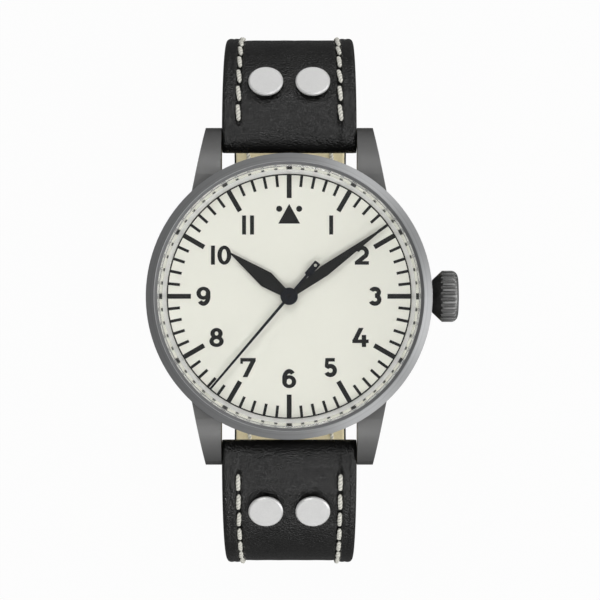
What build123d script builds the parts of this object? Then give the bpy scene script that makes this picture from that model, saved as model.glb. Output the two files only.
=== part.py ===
from build123d import *
from math import asin, atan2, cos, degrees, hypot, radians, sin, sqrt
import os

# Pilot watch, millimetres. +Z leaves the dial, +Y points to 12 o'clock, +X to the crown.
# The origin is the middle of the flat outer face of the case back.

# Case, built outward from the movement's plate
plate_radius = 16.0
plate_gap = 0.65
case_neck_radius = plate_radius + plate_gap
ring_ledge = 1.65
case_bore_radius = case_neck_radius + ring_ledge
dial_ledge = 0.4
dial_seat_radius = case_bore_radius + dial_ledge
dial_clearance = 0.1
dial_radius = dial_seat_radius - dial_clearance
case_wall = 2.2
case_radius = dial_seat_radius + case_wall
case_bottom = 1.2
case_top = 8.4
case_edge = 0.5
case_ledge_height = 4.35
dial_seat_height = 6.9
past = 1.0

# Lugs, placed from the strap's bar
bar_reach = 2.5
bar_y = case_radius + bar_reach
bar_z = 3.0
lug_gap_half = 10.05
lug_width = 2.35
lug_tip_x = lug_gap_half + lug_width
lug_tip_reach = 1.6
lug_tip_y = bar_y + lug_tip_reach
lug_start_inset = 5.3
lug_start_x = case_radius - lug_start_inset
lug_start_back = 10.9
lug_start_y = case_radius - lug_start_back
lug_narrowing = 1.3
lug_root_x = lug_start_x - lug_narrowing
lug_root_back = 7.9
lug_root_y = bar_y - lug_root_back
lug_top_back = 5.4
lug_top_y = bar_y - lug_top_back
lug_top_z = 8.3
lug_mid_back = 1.5
lug_mid_y = bar_y - lug_mid_back
lug_mid_z = 7.0
lug_bevel_reach = 1.04
lug_bevel_y = bar_y + lug_bevel_reach
lug_bevel_z = 4.75
lug_nose_top = 3.9
lug_nose_bottom = 1.7
lug_heel_reach = 0.8
lug_heel_y = bar_y + lug_heel_reach
lug_heel_z = 0.9
lug_sole_back = 6.9
lug_sole_y = bar_y - lug_sole_back
lug_slab_spare = 2.4
lug_slab_half = lug_start_x + lug_slab_spare

# Case back
back_chamfer = 0.4
back_thread_clearance = 0.05
back_screw_outer = case_neck_radius - back_thread_clearance
back_screw_wall = 0.7
back_screw_inner = back_screw_outer - back_screw_wall
back_screw_top = 2.8
window_frame = 2.4
window_radius = back_screw_inner - window_frame
window_lip = 0.7
window_lip_radius = window_radius - window_lip
window_lip_low = 1.15
window_lip_high = 1.5
window_low = 0.1
window_high = 1.1
window_clearance = 0.02
window_chamfer = 0.2
key_slots = 6
key_slot_width = 2.2
key_slot_depth = 0.5
key_slot_length = 1.8
back_ring_inset = 0.55
back_ring_radius = case_neck_radius + back_ring_inset
back_ring_cord = 0.19
back_groove_half = 0.3
back_groove_inner = back_ring_radius - back_groove_half
back_groove_outer = back_ring_radius + back_groove_half
back_rim = 0.3
back_radius = back_groove_outer + back_rim
back_groove_depth = 0.4

# Bezel, crystal and inner flange
bezel_overhang = 0.1
bezel_radius = case_radius + bezel_overhang
bezel_foot_step = 0.4
bezel_foot_radius = bezel_radius - bezel_foot_step
bezel_shoulder = 8.8
bezel_waist = 9.6
bezel_slope = 1.22
bezel_crest_radius = bezel_radius - bezel_slope
bezel_crest = 10.75
bezel_lip_top = 10.45
bezel_lip_bottom = 10.25
gasket_clearance = 0.02
bezel_ledge = 9.05
crystal_overlap = 0.55
crystal_clearance = 0.05
crystal_radius = dial_seat_radius + crystal_overlap
bezel_lip_radius = crystal_radius + crystal_clearance
bezel_inner_radius = crystal_radius - crystal_clearance
crystal_bottom = 9.1
crystal_edge = 10.15
crystal_bevel = 0.15
crystal_crown_height = 10.95
gasket_inner = crystal_radius + gasket_clearance
gasket_wall = 0.53
gasket_outer = gasket_inner + gasket_wall
bezel_groove_radius = gasket_outer + gasket_clearance
gasket_low = 9.07
gasket_high = 10.2
flange_low = 7.32
flange_high = 9.0
flange_overlap = 0.6
flange_foot_inner = dial_radius - flange_overlap
flange_clearance = 0.05
flange_outer = bezel_inner_radius - flange_clearance
flange_rim = 0.15
flange_top_inner = flange_outer - flange_rim
flange_seat_radius = bezel_inner_radius

# Dial
dial_low = 6.9
dial_high = 7.3
dial_hole = 1.10
dial_foot_radius = 0.35
dial_foot_length = 1.2
dial_foot_inset = 0.8
dial_foot_reach = plate_radius - dial_foot_inset
dial_foot_angles = (110, 250)
print_height = 0.03
track_inset = 0.05
track_outer = flange_foot_inner - track_inset
track_width = 0.2
track_inner = track_outer - track_width
tick_length = 1.65
tick_inner = track_inner - tick_length
tick_width = 0.42
hour_tick_length = 3.35
hour_tick_inner = track_inner - hour_tick_length
hour_tick_width = 0.71
minutes_round = 60
hours_round = 12
triangle_inset = 0.87
triangle_tip = hour_tick_inner - triangle_inset
triangle_height = 2.89
triangle_base = triangle_tip - triangle_height
triangle_width = 3.2
dot_x = 1.465
dot_inset = 0.72
dot_y = triangle_tip - dot_inset
dot_radius = 0.44

# Numerals, drawn with one stroke width
numeral_height = 2.8
stroke = 0.64
thin_stroke = 0.52
bar_stroke = 0.58
numeral_inset = 2.35
numeral_reach = hour_tick_inner - numeral_inset
side_numeral_shift = 0.5
side_numeral_reach = numeral_reach + side_numeral_shift
zero_width = 2.03
eight_width = 2.1
eleven_width = 1.75
ten_width = 2.97
two_width = 2.07
three_width = 1.93
four_width = 2.4
five_width = 1.95
six_width = 2.06
seven_width = 2.25
two_bow_start = 165
two_bow_sweep = -205
three_bow_sweep = 245
three_low_start = -155
four_mast_share = 0.63
four_mast_x = 0.51
five_bow_start = 148
five_bow_sweep = -300
six_bowl = 1.9
six_hook_start = 42
six_hook_sweep = 170
seven_serif = 0.38
seven_serif_drop = 0.84
one_shift = 0.12
two_shift = 0.2
eight_shift = -0.2
ten_shift = 0.47
numeral_shifts = (one_shift, two_shift, 0, 0, 0, 0, 0, eight_shift, 0, ten_shift, 0)

# Hands, as distances from the middle of the dial
hour_hand_low = 7.65
hour_hand_high = 7.83
hour_hand_inset = 3.45
hour_hand_tip = hour_tick_inner - hour_hand_inset
hour_hand_wide = 2.46
hour_hand_wide_at = 4.15
hour_hand_root = 0.9
hour_hub_radius = 1.2
hour_hand_clock = 306.3
minute_hand_low = 8.02
minute_hand_high = 8.18
hand_inset = 0.1
minute_hand_tip = track_outer - hand_inset
minute_hand_wide = 1.66
minute_hand_wide_at = 6.35
minute_hand_root = 0.8
minute_hub_radius = 1.16
minute_hand_clock = 54.1
hand_point = 0.1
seconds_hand_low = 8.38
seconds_hand_high = 8.50
seconds_tip = track_outer - hand_inset
seconds_width = 0.44
seconds_point = 0.16
seconds_neck = 0.42
seconds_paddle_start = 4.0
seconds_paddle_end = 6.5
seconds_paddle_width = 1.0
seconds_eye_at = 5.94
seconds_eye_radius = 0.225
seconds_hub_radius = 1.28
seconds_hub_low = 8.30
seconds_hub_high = 8.68
seconds_hub_bevel = 0.14
seconds_pip_radius = 0.3
seconds_hand_clock = 220.4

# Heights in the movement, from the case back
ratchet_low = 1.60
ratchet_high = 2.00
bridge_low = 2.05
bridge_high = 2.98
plate_low = 5.2
recess_floor = 6.0
plate_high = 6.88
bridge_inset = 0.2
bridge_radius = plate_radius - bridge_inset
foot_width = 1.2
foot_inner = bridge_radius - foot_width
slit = 0.25
parting_y = 3.2
parting_slope = -0.325
ring_clearance = 0.05
ring_inner = plate_radius + ring_clearance
ring_outer = case_bore_radius - ring_clearance
ring_lip = bridge_radius + ring_clearance
ring_low = 4.4
ring_lip_high = 5.17
ring_high = 6.87

# Pivots, jewels and screws
pivot_radius = 0.10
jewel_bore = 0.12
jewel_radius = 0.60
jewel_hole = 0.61
jewel_height = 0.35
bridge_jewel_low = 2.55
plate_jewel_low = 5.25
balance_jewel_low = 2.15
pallet_jewel_low = 3.62
pallet_jewel_height = 0.2
arbor_radius = 0.25
pivot_length = 0.35
screw_head = 0.65
screw_head_height = 0.35
screw_slot_width = 0.16
screw_slot_depth = 0.15
screw_shank = 0.35
screw_hole = 0.37
bridge_screw_end = 5.9
plate_screw_floor = 6.05
ring_screw_inset = 0.6
ring_screw_reach = case_neck_radius + ring_screw_inset
ring_screw_head = 0.75
ring_screw_end = 3.4
ring_screw_hole_floor = 3.3
head_clearance = 0.04
ring_screw_angles = (60, 180, 300)
bridge_screw_inset = 0.7
bridge_screw_reach = bridge_radius - bridge_screw_inset
barrel_bridge_screw_angles = (32, 90, 142)
train_bridge_screw_angles = (302, 187)

# Going train
barrel_reach = 7.2
barrel_angle = 60
barrel_teeth = 84
centre_pinion_leaves = 12
barrel_drum = 5.85
barrel_cavity = 5.55
barrel_low = 3.95
barrel_high = 5.10
barrel_wall = 0.12
barrel_tooth_low = 4.55
barrel_tooth_high = 4.95
barrel_arbor_radius = 0.70
barrel_arbor_core = 0.95
barrel_arbor_clearance = 0.03
barrel_pivot = 0.5
barrel_pivot_top = 5.95
ratchet_square = 0.9
square_clearance = 0.02
mainspring_thickness = 0.12
mainspring_inner = 1.25
mainspring_step = 0.42
mainspring_turns = 20
mainspring_gap = 0.1
third_reach = 5.85
third_angle = -62
centre_teeth = 80
third_leaves = 10
third_teeth = 75
fourth_leaves = 10
fourth_teeth = 84
escape_leaves = 7
fourth_module = 0.119048
escape_angle = -160
seconds_arbor = 0.28
centre_tube_bore = 0.33
centre_tube = 0.50
centre_tube_low = 3.60
centre_tube_top = 7.95
centre_wheel_low = 3.66
centre_wheel_high = 3.82
centre_pinion_low = 4.2
centre_pinion_high = 5.1
plate_centre_hole = 0.55
third_wheel_low = 3.14
third_wheel_high = 3.28
third_pinion_low = 3.60
third_pinion_high = 4.10
fourth_pinion_low = 3.06
fourth_pinion_high = 3.40
fourth_wheel_low = 3.42
fourth_wheel_high = 3.54
escape_pinion_low = 3.30
escape_pinion_high = 3.66
escape_wheel_low = 4.20
escape_wheel_high = 4.35
escape_wheel_radius = 2.2
escape_rim = 1.65
escape_teeth = 15
escape_tooth_lean = 12
escape_spokes = 2
wheel_rim = 0.55
spoke_width = 0.45
wheel_hub = 0.9
wheel_spokes = 4

# Escapement
pallet_x = -5.68
pallet_y = -4.28
balance_x = -6.71
balance_y = -8.59
fork_low = 3.95
fork_high = 4.10
fork_width = 0.28
fork_end_gap = 1.0
fork_head_width = 0.7
fork_head_length = 0.5
fork_slot_width = 0.24
fork_arm_reach = 1.6
fork_arm_spread = 38
stone_width = 0.28
stone_length = 0.55
stone_high = 4.38
stone_gap = 0.25
balance_radius = 4.5
balance_rim = 0.55
balance_rim_low = 3.0
balance_rim_high = 3.5
balance_arm_low = 3.15
balance_arm_high = 3.35
balance_arm_width = 0.6
staff_radius = 0.3
roller_radius = 0.85
roller_low = 3.7
roller_high = 3.88
impulse_pin_reach = 0.6
impulse_pin_radius = 0.08
impulse_pin_high = 4.08
hairspring_low = 2.70
hairspring_high = 2.85
hairspring_thickness = 0.05
hairspring_inner = 0.55
hairspring_step = 0.2
hairspring_turns = 20
collet_radius = 0.5
collet_low = 2.68
collet_high = 2.90
stud_radius = 0.15
balance_bridge_high = 2.6
balance_bridge_width = 2.6
balance_boss = 1.5
balance_foot = 1.5
balance_foot_right = (-1.98, -14.05)
balance_foot_left = (-12.85, -6.03)
balance_window = 5.3
balance_mouth_angle = 233
balance_mouth_half = 34
bridge_gap = 0.35
pallet_cock_low = 3.60
pallet_cock_high = 3.85
pallet_foot_x = -9.2
pallet_foot_y = -3.0
pallet_boss = 0.85
pallet_foot_radius = 1.0
pallet_screw_head_low = 3.30
pallet_screw_end = 5.7

# Winding and setting work
stem_height = 5.2
stem_radius = 0.6
stem_tip = 6.6
stem_pilot = 0.35
stem_pilot_end = 8.0
stem_square = 0.8
stem_square_end = 11.28
stem_groove_start = 12.75
stem_groove_end = 13.25
stem_groove_radius = 0.35
stem_neck_inset = 0.3
stem_neck_start = case_bore_radius - stem_neck_inset
stem_neck = 0.5
winding_leaves = 12
winding_root = 0.92
winding_tip = 1.25
winding_start = 11.3
winding_end = 12.5
winding_bore = 0.62
sliding_start = 8.65
sliding_end = 11.25
sliding_radius = 1.1
sliding_groove_start = 9.6
sliding_groove_end = 10.1
sliding_groove_radius = 0.7
sliding_square = 0.84
castle_teeth = 10
castle_depth = 0.18
castle_width = 0.3
crown_wheel_x = 9.2
crown_wheel_teeth = 34
ratchet_teeth = 50
crown_wheel_hub = 1.2
crown_wheel_bore = 1.25
contrate_low = 3.03
contrate_web_high = 3.4
contrate_high = 3.72
contrate_tip = 4.02
contrate_inner = 1.95
contrate_outer = 2.38
contrate_teeth = 22
contrate_tooth = 0.2
contrate_bore = 0.9
crown_wheel_boss = 0.89
boss_start = 7.05
boss_end = 7.65
boss_half = 0.65
boss_low = 4.4
stem_hole = 0.65
pilot_hole = 0.40
pocket_start = 7.70
outer_boss_inset = 0.25
outer_boss_end = plate_radius - outer_boss_inset
outer_boss_length = 1.15
pocket_end = outer_boss_end - outer_boss_length
pocket_half = 1.4
outer_boss_half = 1.0
ring_stem_hole = 0.9
keyless_start = 7.5
keyless_boss_length = 0.95
keyless_end = outer_boss_end - keyless_boss_length
keyless_low_y = -4.6
keyless_high_y = 5.4
lever_low = 6.52
lever_high = 6.78
lever_x = 13.5
lever_y = -3.0
lever_width = 1.3
lever_pin_x = 13.0
lever_pin_radius = 0.2
lever_pin_low = 5.62
lever_pivot = 0.3
lever_pivot_hole = 0.32
yoke_x = 9.85
yoke_y = 4.6
yoke_width = 1.1
yoke_pin_low = 5.96
post_radius = 0.4
post_clearance = 0.03
click_reach = 6.4
click_angle = 152
click_low = 1.62
click_high = 1.98
click_width = 0.8
click_nose_gap = 0.12
click_nose_turn = 18
click_post = 0.35

# Motion work under the dial
motion_reach = 3.36
cannon_leaves = 12
minute_teeth = 36
minute_leaves = 10
hour_teeth = 40
setting_teeth = 12
minute_wheel_low = 6.08
minute_wheel_high = 6.28
cannon_low = 6.05
cannon_tooth_high = 6.36
cannon_bore = 0.52
cannon_tube = 0.72
cannon_top = 8.24
hour_wheel_low = 6.50
hour_wheel_high = 6.68
hour_tube_bore = 0.76
hour_tube = 0.98
hour_tube_top = 7.88
hand_clearance = 0.01
centre_recess = 3.0
minute_recess = 2.85
setting_recess = 1.1

# Crown
crown_gap = 0.25
crown_face = case_radius + crown_gap
crown_neck = 2.43
crown_radius = 3.8
crown_cone = 1.45
crown_cone_end = crown_face + crown_cone
crown_side = 1.35
crown_side_end = crown_cone_end + crown_side
crown_rim = 2.65
crown_bevel = 1.0
crown_outer = crown_side_end + crown_bevel
crown_rise = 0.1
crown_dome = crown_outer + crown_rise
crown_bore = 1.95
crown_bore_depth = 2.05
crown_bore_end = crown_face + crown_bore_depth
crown_thread_depth = 0.7
crown_thread_end = crown_bore_end + crown_thread_depth
stem_end_gap = 0.2
stem_end = crown_thread_end - stem_end_gap
crown_thread = 0.53
crown_flutes = 26
crown_flute_radius = 0.3
crown_gasket_depth = 0.8
crown_gasket_x = crown_face + crown_gasket_depth
crown_gasket_radius = 1.775
crown_gasket_cord = 0.16
tube_radius = 1.6
tube_bore = 0.75
tube_inset = 0.05
tube_start = case_bore_radius + tube_inset
tube_reach = 1.25
tube_end = crown_face + tube_reach
tube_hole = 1.61
case_clear = 0.3
case_axis_clear = case_radius + case_clear

# Strap and its metal
bar_radius = 0.9
bar_hole = 0.95
bar_end_gap = 2.15
bar_half = lug_gap_half - bar_end_gap
bar_bore = 0.5
bar_bore_depth = 2.9
tip_radius = 0.4
tip_tail = 1.4
tip_inner = bar_half - tip_tail
tip_reach = 0.85
tip_outer = lug_gap_half + tip_reach
tip_flange_radius = 0.75
tip_flange_gap = 0.95
tip_flange_outer = lug_gap_half - tip_flange_gap
tip_flange_width = 0.25
tip_flange_inner = tip_flange_outer - tip_flange_width
lug_hole = 0.45
lug_hole_spare = 0.3
lug_hole_end = tip_outer + lug_hole_spare
strap_side_gap = 0.15
strap_half_top = lug_gap_half - strap_side_gap
strap_taper = 0.9
strap_half_low = strap_half_top - strap_taper
strap_half_side = 1.3
strap_half_flat = 1.1
lug_half = 2.1
lining_thickness = 0.8
lining_gap = 0.02
upper_short = 15.0
upper_long = 16.3
flat_drop = 38.5
short_flat_back = 8.5
short_flat_y = bar_y - short_flat_back
long_flat_back = 5.9
long_flat_y = long_flat_back - bar_y
buckle_bar_radius = 0.5
buckle_bar_hole = 0.55
lining_end_y = 3.0
bend_radius = 13.07
bend_angle = 25
tail_angle = 48
tail_point = 5.0
tail_end_half = 2.5
tongue_slot_half = 1.1
tongue_slot_front = 1.6
tongue_slot_back = 2.6
adjust_holes = 7
adjust_pitch = 6.0
adjust_radius = 0.9
tongue_hole_y = -3.6
tongue_hole_length = 6.0
rivet_x = 3.5
rivet_reach = 8.53
rivet_head = 2.575
rivet_height = 0.5
rivet_bevel = 0.2
rivet_shank = 0.8
rivet_hole = 0.85
rivet_washer = 1.6
rivet_washer_height = 0.25
rivet_lift = 0.02
rivet_washer_lift = 0.28

# Buckle and keepers
buckle_gap = 0.5
buckle_inner = strap_half_low + buckle_gap
buckle_wall = 1.7
buckle_outer = buckle_inner + buckle_wall
buckle_front_y = -9.4
buckle_back_y = -7.6
buckle_cross_top = -37.9
buckle_cross_low = -40.1
buckle_round = 0.6
buckle_eye = 1.2
tongue_half = 0.8
tongue_loop = 1.0
tongue_thickness = 0.8
tongue_end_y = -9.1
tongue_drop = 0.2
tongue_knee_y = -8.0
tongue_knee_z = -39.55
tongue_groove_z = -38.8
tongue_groove_gap = 0.12
keeper_side_gap = 0.4
keeper_inner = strap_half_low + keeper_side_gap
keeper_wall = 0.9
keeper_top_gap = 0.3
keeper_gap = 0.15
keeper_width = 3.4
fixed_keeper_y = 5.75
free_keeper_y = 11.3

# Derived places
bend_lead = 2.1
long_bend_y = buckle_front_y - bend_lead
flat_z = bar_z - flat_drop
tail_shift = 2 * bend_radius * (1 - cos(radians(bend_angle)))
barrel_x = barrel_reach * cos(radians(barrel_angle))
barrel_y = barrel_reach * sin(radians(barrel_angle))
third_x = third_reach * cos(radians(third_angle))
third_y = third_reach * sin(radians(third_angle))
escape_reach = fourth_module * (fourth_teeth + escape_leaves) / 2
escape_x = escape_reach * cos(radians(escape_angle))
escape_y = escape_reach * sin(radians(escape_angle))
winding_centres = hypot(crown_wheel_x - barrel_x, barrel_y)
ratchet_module = winding_centres * 2 / (ratchet_teeth + crown_wheel_teeth)
click_x = barrel_x + click_reach * cos(radians(click_angle))
click_y = barrel_y + click_reach * sin(radians(click_angle))
barrel_module = 2 * barrel_reach / (barrel_teeth + centre_pinion_leaves)
centre_module = 2 * third_reach / (centre_teeth + third_leaves)
third_module = 2 * third_reach / (third_teeth + fourth_leaves)
motion_module = 2 * motion_reach / (cannon_leaves + minute_teeth)
hour_module = 2 * motion_reach / (minute_leaves + hour_teeth)
stem_axis = Axis((0, 0, stem_height), (1, 0, 0))

# Shares of a gear module or of a tooth pitch
wheel_tip_share = 0.75
wheel_root_share = 1.15
leaf_tip_share = 0.6
leaf_root_share = 1.15
wheel_foot_share = 0.25
wheel_crest_share = 0.09
leaf_foot_share = 0.17
leaf_crest_share = 0.09

os.makedirs("parts", exist_ok=True)


def save(piece, name):
    piece.part.label = name
    export_step(piece.part, f"parts/{name}.step")


def polar(reach, angle):
    return (reach * cos(radians(angle)), reach * sin(radians(angle)))


def clock(reach, angle):
    return (reach * sin(radians(angle)), reach * cos(radians(angle)))


def turned(outline, axis=Axis.Z):
    """A turned solid from the corners of its half section in the XZ plane."""
    with BuildPart() as body:
        with BuildSketch(Plane.XZ):
            with BuildLine():
                Polyline(*outline, close=True)
            make_face()
        revolve(axis=axis)
    return body.part


def dome_middle(radius, low, high):
    """A place half way along a dome's arc from its edge to its top on the axis."""
    rise = high - low
    sphere = (radius * radius + rise * rise) / (2 * rise)
    angle = asin(radius / sphere) / 2
    return sphere * sin(angle), high - sphere + sphere * cos(angle)


def disc(middle, radius, low, high, bore=0):
    """An upright cylinder or tube between two heights."""
    with BuildPart() as body:
        with BuildSketch(Plane.XY.offset(low)):
            with Locations(middle):
                Circle(radius)
                if bore:
                    Circle(bore, mode=Mode.SUBTRACT)
        extrude(amount=high - low)
    return body.part


def slab(x_low, x_high, y_low, y_high, z_low, z_high):
    """A block between three pairs of planes."""
    middle = ((x_low + x_high) / 2, (y_low + y_high) / 2, (z_low + z_high) / 2)
    with BuildPart() as body:
        with Locations(middle):
            Box(x_high - x_low, y_high - y_low, z_high - z_low)
    return body.part


def bar_between(start, end, width, low, high, end_radius=None):
    """An upright plate with round ends between two places."""
    with BuildPart() as body:
        with BuildSketch(Plane.XY.offset(low)):
            with BuildLine() as path:
                Line(start, end)
            trace(path.line, line_width=width)
            with Locations(start, end):
                Circle(end_radius or width / 2)
        extrude(amount=high - low)
    return body.part


def rod(start, end, radius, y=0, z=stem_height):
    """A round rod along X between two places."""
    with BuildPart() as body:
        with BuildSketch(Plane.YZ.offset(start)):
            with Locations((y, z)):
                Circle(radius)
        extrude(amount=end - start)
    return body.part


def tooth_ring(teeth, root, tip, foot_share, crest_share, turn):
    """Corners of a toothed outline, four for each tooth."""
    step = 360 / teeth
    corners = []
    for number in range(teeth):
        middle = turn + number * step
        corners.append(polar(root, middle - foot_share * step))
        corners.append(polar(tip, middle - crest_share * step))
        corners.append(polar(tip, middle + crest_share * step))
        corners.append(polar(root, middle + foot_share * step))
    return corners


def wheel_outline(teeth, module, turn):
    pitch = teeth * module / 2
    root = pitch - wheel_root_share * module
    tip = pitch + wheel_tip_share * module
    return tooth_ring(teeth, root, tip, wheel_foot_share, wheel_crest_share, turn)


def leaf_outline(teeth, module, turn):
    pitch = teeth * module / 2
    root = pitch - leaf_root_share * module
    tip = pitch + leaf_tip_share * module
    return tooth_ring(teeth, root, tip, leaf_foot_share, leaf_crest_share, turn)


def gear(middle, outline, low, high, bore=0):
    """A toothed disc between two heights."""
    with BuildPart() as body:
        with BuildSketch(Plane.XY.offset(low)):
            with Locations(middle):
                Polygon(*outline, align=None)
                if bore:
                    Circle(bore, mode=Mode.SUBTRACT)
        extrude(amount=high - low)
    return body.part


def crossed_wheel(middle, teeth, module, turn, low, high, hub=wheel_hub):
    """A train wheel with a rim, crossings and a hub."""
    root = teeth * module / 2 - wheel_root_share * module
    rim = root - wheel_rim
    with BuildPart() as body:
        with BuildSketch(Plane.XY.offset(low)):
            with Locations(middle):
                Polygon(*wheel_outline(teeth, module, turn), align=None)
                Circle(rim, mode=Mode.SUBTRACT)
                for spoke in range(wheel_spokes // 2):
                    Rectangle(2 * rim + wheel_rim, spoke_width, rotation=turn + spoke * 90)
                Circle(hub)
        extrude(amount=high - low)
    return body.part


def arbor(middle, low, high, radius=arbor_radius):
    """A pivoted arbor: thin pivots past both ends of its body."""
    with BuildPart() as body:
        add(disc(middle, radius, low, high))
        add(disc(middle, pivot_radius, low - pivot_length, high + pivot_length))
    return body.part


def mesh_turn(wheel_turn, wheel_teeth, leaf_teeth, direction):
    """The turn of a second gear whose gap meets the first gear's tooth along a direction."""
    wheel_pitch = 360 / wheel_teeth
    leaf_pitch = 360 / leaf_teeth
    offset_share = ((direction - wheel_turn) % wheel_pitch) / wheel_pitch
    return direction + 180 + leaf_pitch * (offset_share + 1 / 2)


def lug_slab():
    """The plan of the case with its four lugs, cut by the side view of the lugs."""
    with BuildPart() as body:
        with BuildSketch(Plane.XY.offset(lug_heel_z)):
            Circle(case_radius)
            with BuildLine():
                Polyline(
                    (lug_gap_half, lug_start_y),
                    (lug_start_x, lug_start_y),
                    (lug_root_x, lug_root_y),
                    (lug_tip_x, lug_tip_y),
                    (lug_gap_half, lug_tip_y),
                    close=True,
                )
            make_face()
            mirror(about=Plane.YZ)
            mirror(about=Plane.XZ)
        extrude(amount=case_top - lug_heel_z)
        with BuildSketch(Plane.YZ.offset(-lug_slab_half)):
            with BuildLine():
                Line((0, lug_top_z), (lug_top_y, lug_top_z))
                start = (lug_top_y, lug_top_z)
                ThreePointArc(start, (lug_mid_y, lug_mid_z), (lug_bevel_y, lug_bevel_z))
                Polyline(
                    (lug_bevel_y, lug_bevel_z),
                    (lug_tip_y, lug_nose_top),
                    (lug_tip_y, lug_nose_bottom),
                    (lug_heel_y, lug_heel_z),
                    (lug_sole_y, case_bottom),
                    (0, case_bottom),
                    (0, lug_top_z),
                )
            make_face()
            mirror(about=Plane.YZ)
        extrude(amount=2 * lug_slab_half, mode=Mode.INTERSECT)
    return body.part


def make_case_middle():
    lugs = lug_slab()
    bore = turned(
        (
            (0, case_bottom - past),
            (back_radius + window_clearance, case_bottom - past),
            (back_radius + window_clearance, case_bottom),
            (back_groove_outer, case_bottom),
            (back_groove_outer, case_bottom + back_groove_depth),
            (back_groove_inner, case_bottom + back_groove_depth),
            (back_groove_inner, case_bottom),
            (case_neck_radius, case_bottom),
            (case_neck_radius, case_ledge_height),
            (case_bore_radius, case_ledge_height),
            (case_bore_radius, dial_seat_height),
            (dial_seat_radius, dial_seat_height),
            (dial_seat_radius, dial_high),
            (flange_seat_radius, dial_high),
            (flange_seat_radius, case_top + past),
            (0, case_top + past),
        )
    )
    body = turned(
        (
            (0, case_bottom),
            (case_radius - case_edge, case_bottom),
            (case_radius, case_bottom + case_edge),
            (case_radius, case_top - case_edge / 2),
            (case_radius - case_edge / 2, case_top),
            (0, case_top),
        )
    )
    with BuildPart() as case_middle:
        add(lugs)
        add(body)
        add(bore, mode=Mode.SUBTRACT)
        add(rod(case_neck_radius - past, case_axis_clear, tube_hole), mode=Mode.SUBTRACT)
        for side in (1, -1):
            for end in (1, -1):
                hole = rod(lug_gap_half - past, lug_hole_end, lug_hole, end * bar_y, bar_z)
                if side < 0:
                    hole = hole.mirror(Plane.YZ)
                add(hole, mode=Mode.SUBTRACT)
        for angle in ring_screw_angles:
            place = polar(ring_screw_reach, angle)
            add(disc(place, screw_hole, ring_screw_hole_floor, case_ledge_height), mode=Mode.SUBTRACT)
    return case_middle


def make_case_back():
    ring = turned(
        (
            (window_radius, 0),
            (back_radius - back_chamfer, 0),
            (back_radius, back_chamfer),
            (back_radius, case_bottom),
            (back_screw_outer, case_bottom),
            (back_screw_outer, back_screw_top),
            (back_screw_inner, back_screw_top),
            (back_screw_inner, window_lip_high),
            (window_lip_radius, window_lip_high),
            (window_lip_radius, window_lip_low),
            (window_radius, window_lip_low),
        )
    )
    with BuildPart() as case_back:
        add(ring)
        with BuildSketch():
            with PolarLocations(back_radius, key_slots):
                Rectangle(key_slot_length, key_slot_width)
        extrude(amount=key_slot_depth, mode=Mode.SUBTRACT)
    return case_back


def make_back_crystal():
    with BuildPart() as back_crystal:
        add(disc((0, 0), window_radius - window_clearance, window_low, window_high))
        chamfer(back_crystal.edges().sort_by(Axis.Z)[0], window_chamfer)
    return back_crystal


def make_back_gasket():
    with BuildPart() as back_gasket:
        with Locations((0, 0, case_bottom + back_groove_depth / 2)):
            Torus(back_ring_radius, back_ring_cord)
    return back_gasket


def make_bezel():
    with BuildPart() as bezel:
        add(
            turned(
                (
                    (bezel_inner_radius, case_top),
                    (bezel_foot_radius, case_top),
                    (bezel_radius, bezel_shoulder),
                    (bezel_radius, bezel_waist),
                    (bezel_crest_radius, bezel_crest),
                    (bezel_lip_radius, bezel_lip_top),
                    (bezel_lip_radius, bezel_lip_bottom),
                    (bezel_groove_radius, bezel_lip_bottom),
                    (bezel_groove_radius, bezel_ledge),
                    (bezel_inner_radius, bezel_ledge),
                )
            )
        )
    return bezel


def make_crystal():
    edge = (crystal_radius - crystal_bevel, crystal_edge + crystal_bevel)
    with BuildPart() as crystal:
        with BuildSketch(Plane.XZ):
            with BuildLine():
                Polyline(
                    (0, crystal_crown_height),
                    (0, crystal_bottom),
                    (crystal_radius, crystal_bottom),
                    (crystal_radius, crystal_edge),
                    edge,
                )
                ThreePointArc(edge, dome_middle(*edge, crystal_crown_height), (0, crystal_crown_height))
            make_face()
        revolve()
    return crystal


def make_crystal_gasket():
    with BuildPart() as crystal_gasket:
        add(disc((0, 0), gasket_outer, gasket_low, gasket_high, gasket_inner))
    return crystal_gasket


def make_inner_flange():
    with BuildPart() as inner_flange:
        add(
            turned(
                (
                    (flange_foot_inner, flange_low),
                    (flange_outer, flange_low),
                    (flange_outer, flange_high),
                    (flange_top_inner, flange_high),
                )
            )
        )
    return inner_flange


def make_crown_tube():
    with BuildPart() as crown_tube:
        add(rod(tube_start, tube_end, tube_radius))
        add(rod(tube_start, tube_end, tube_bore), mode=Mode.SUBTRACT)
    return crown_tube


def make_movement_ring():
    ring = turned(
        (
            (ring_lip, ring_low),
            (ring_outer, ring_low),
            (ring_outer, ring_high),
            (ring_inner, ring_high),
            (ring_inner, ring_lip_high),
            (ring_lip, ring_lip_high),
        )
    )
    with BuildPart() as movement_ring:
        add(ring)
        add(rod(bridge_radius - past, case_bore_radius, ring_stem_hole), mode=Mode.SUBTRACT)
        for angle in ring_screw_angles:
            place = polar(ring_screw_reach, angle)
            head_floor = ring_high - screw_head_height - head_clearance
            add(disc(place, screw_hole, ring_low, ring_high), mode=Mode.SUBTRACT)
            recess = disc(place, ring_screw_head + head_clearance, head_floor, ring_high)
            add(recess, mode=Mode.SUBTRACT)
    return movement_ring


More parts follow.
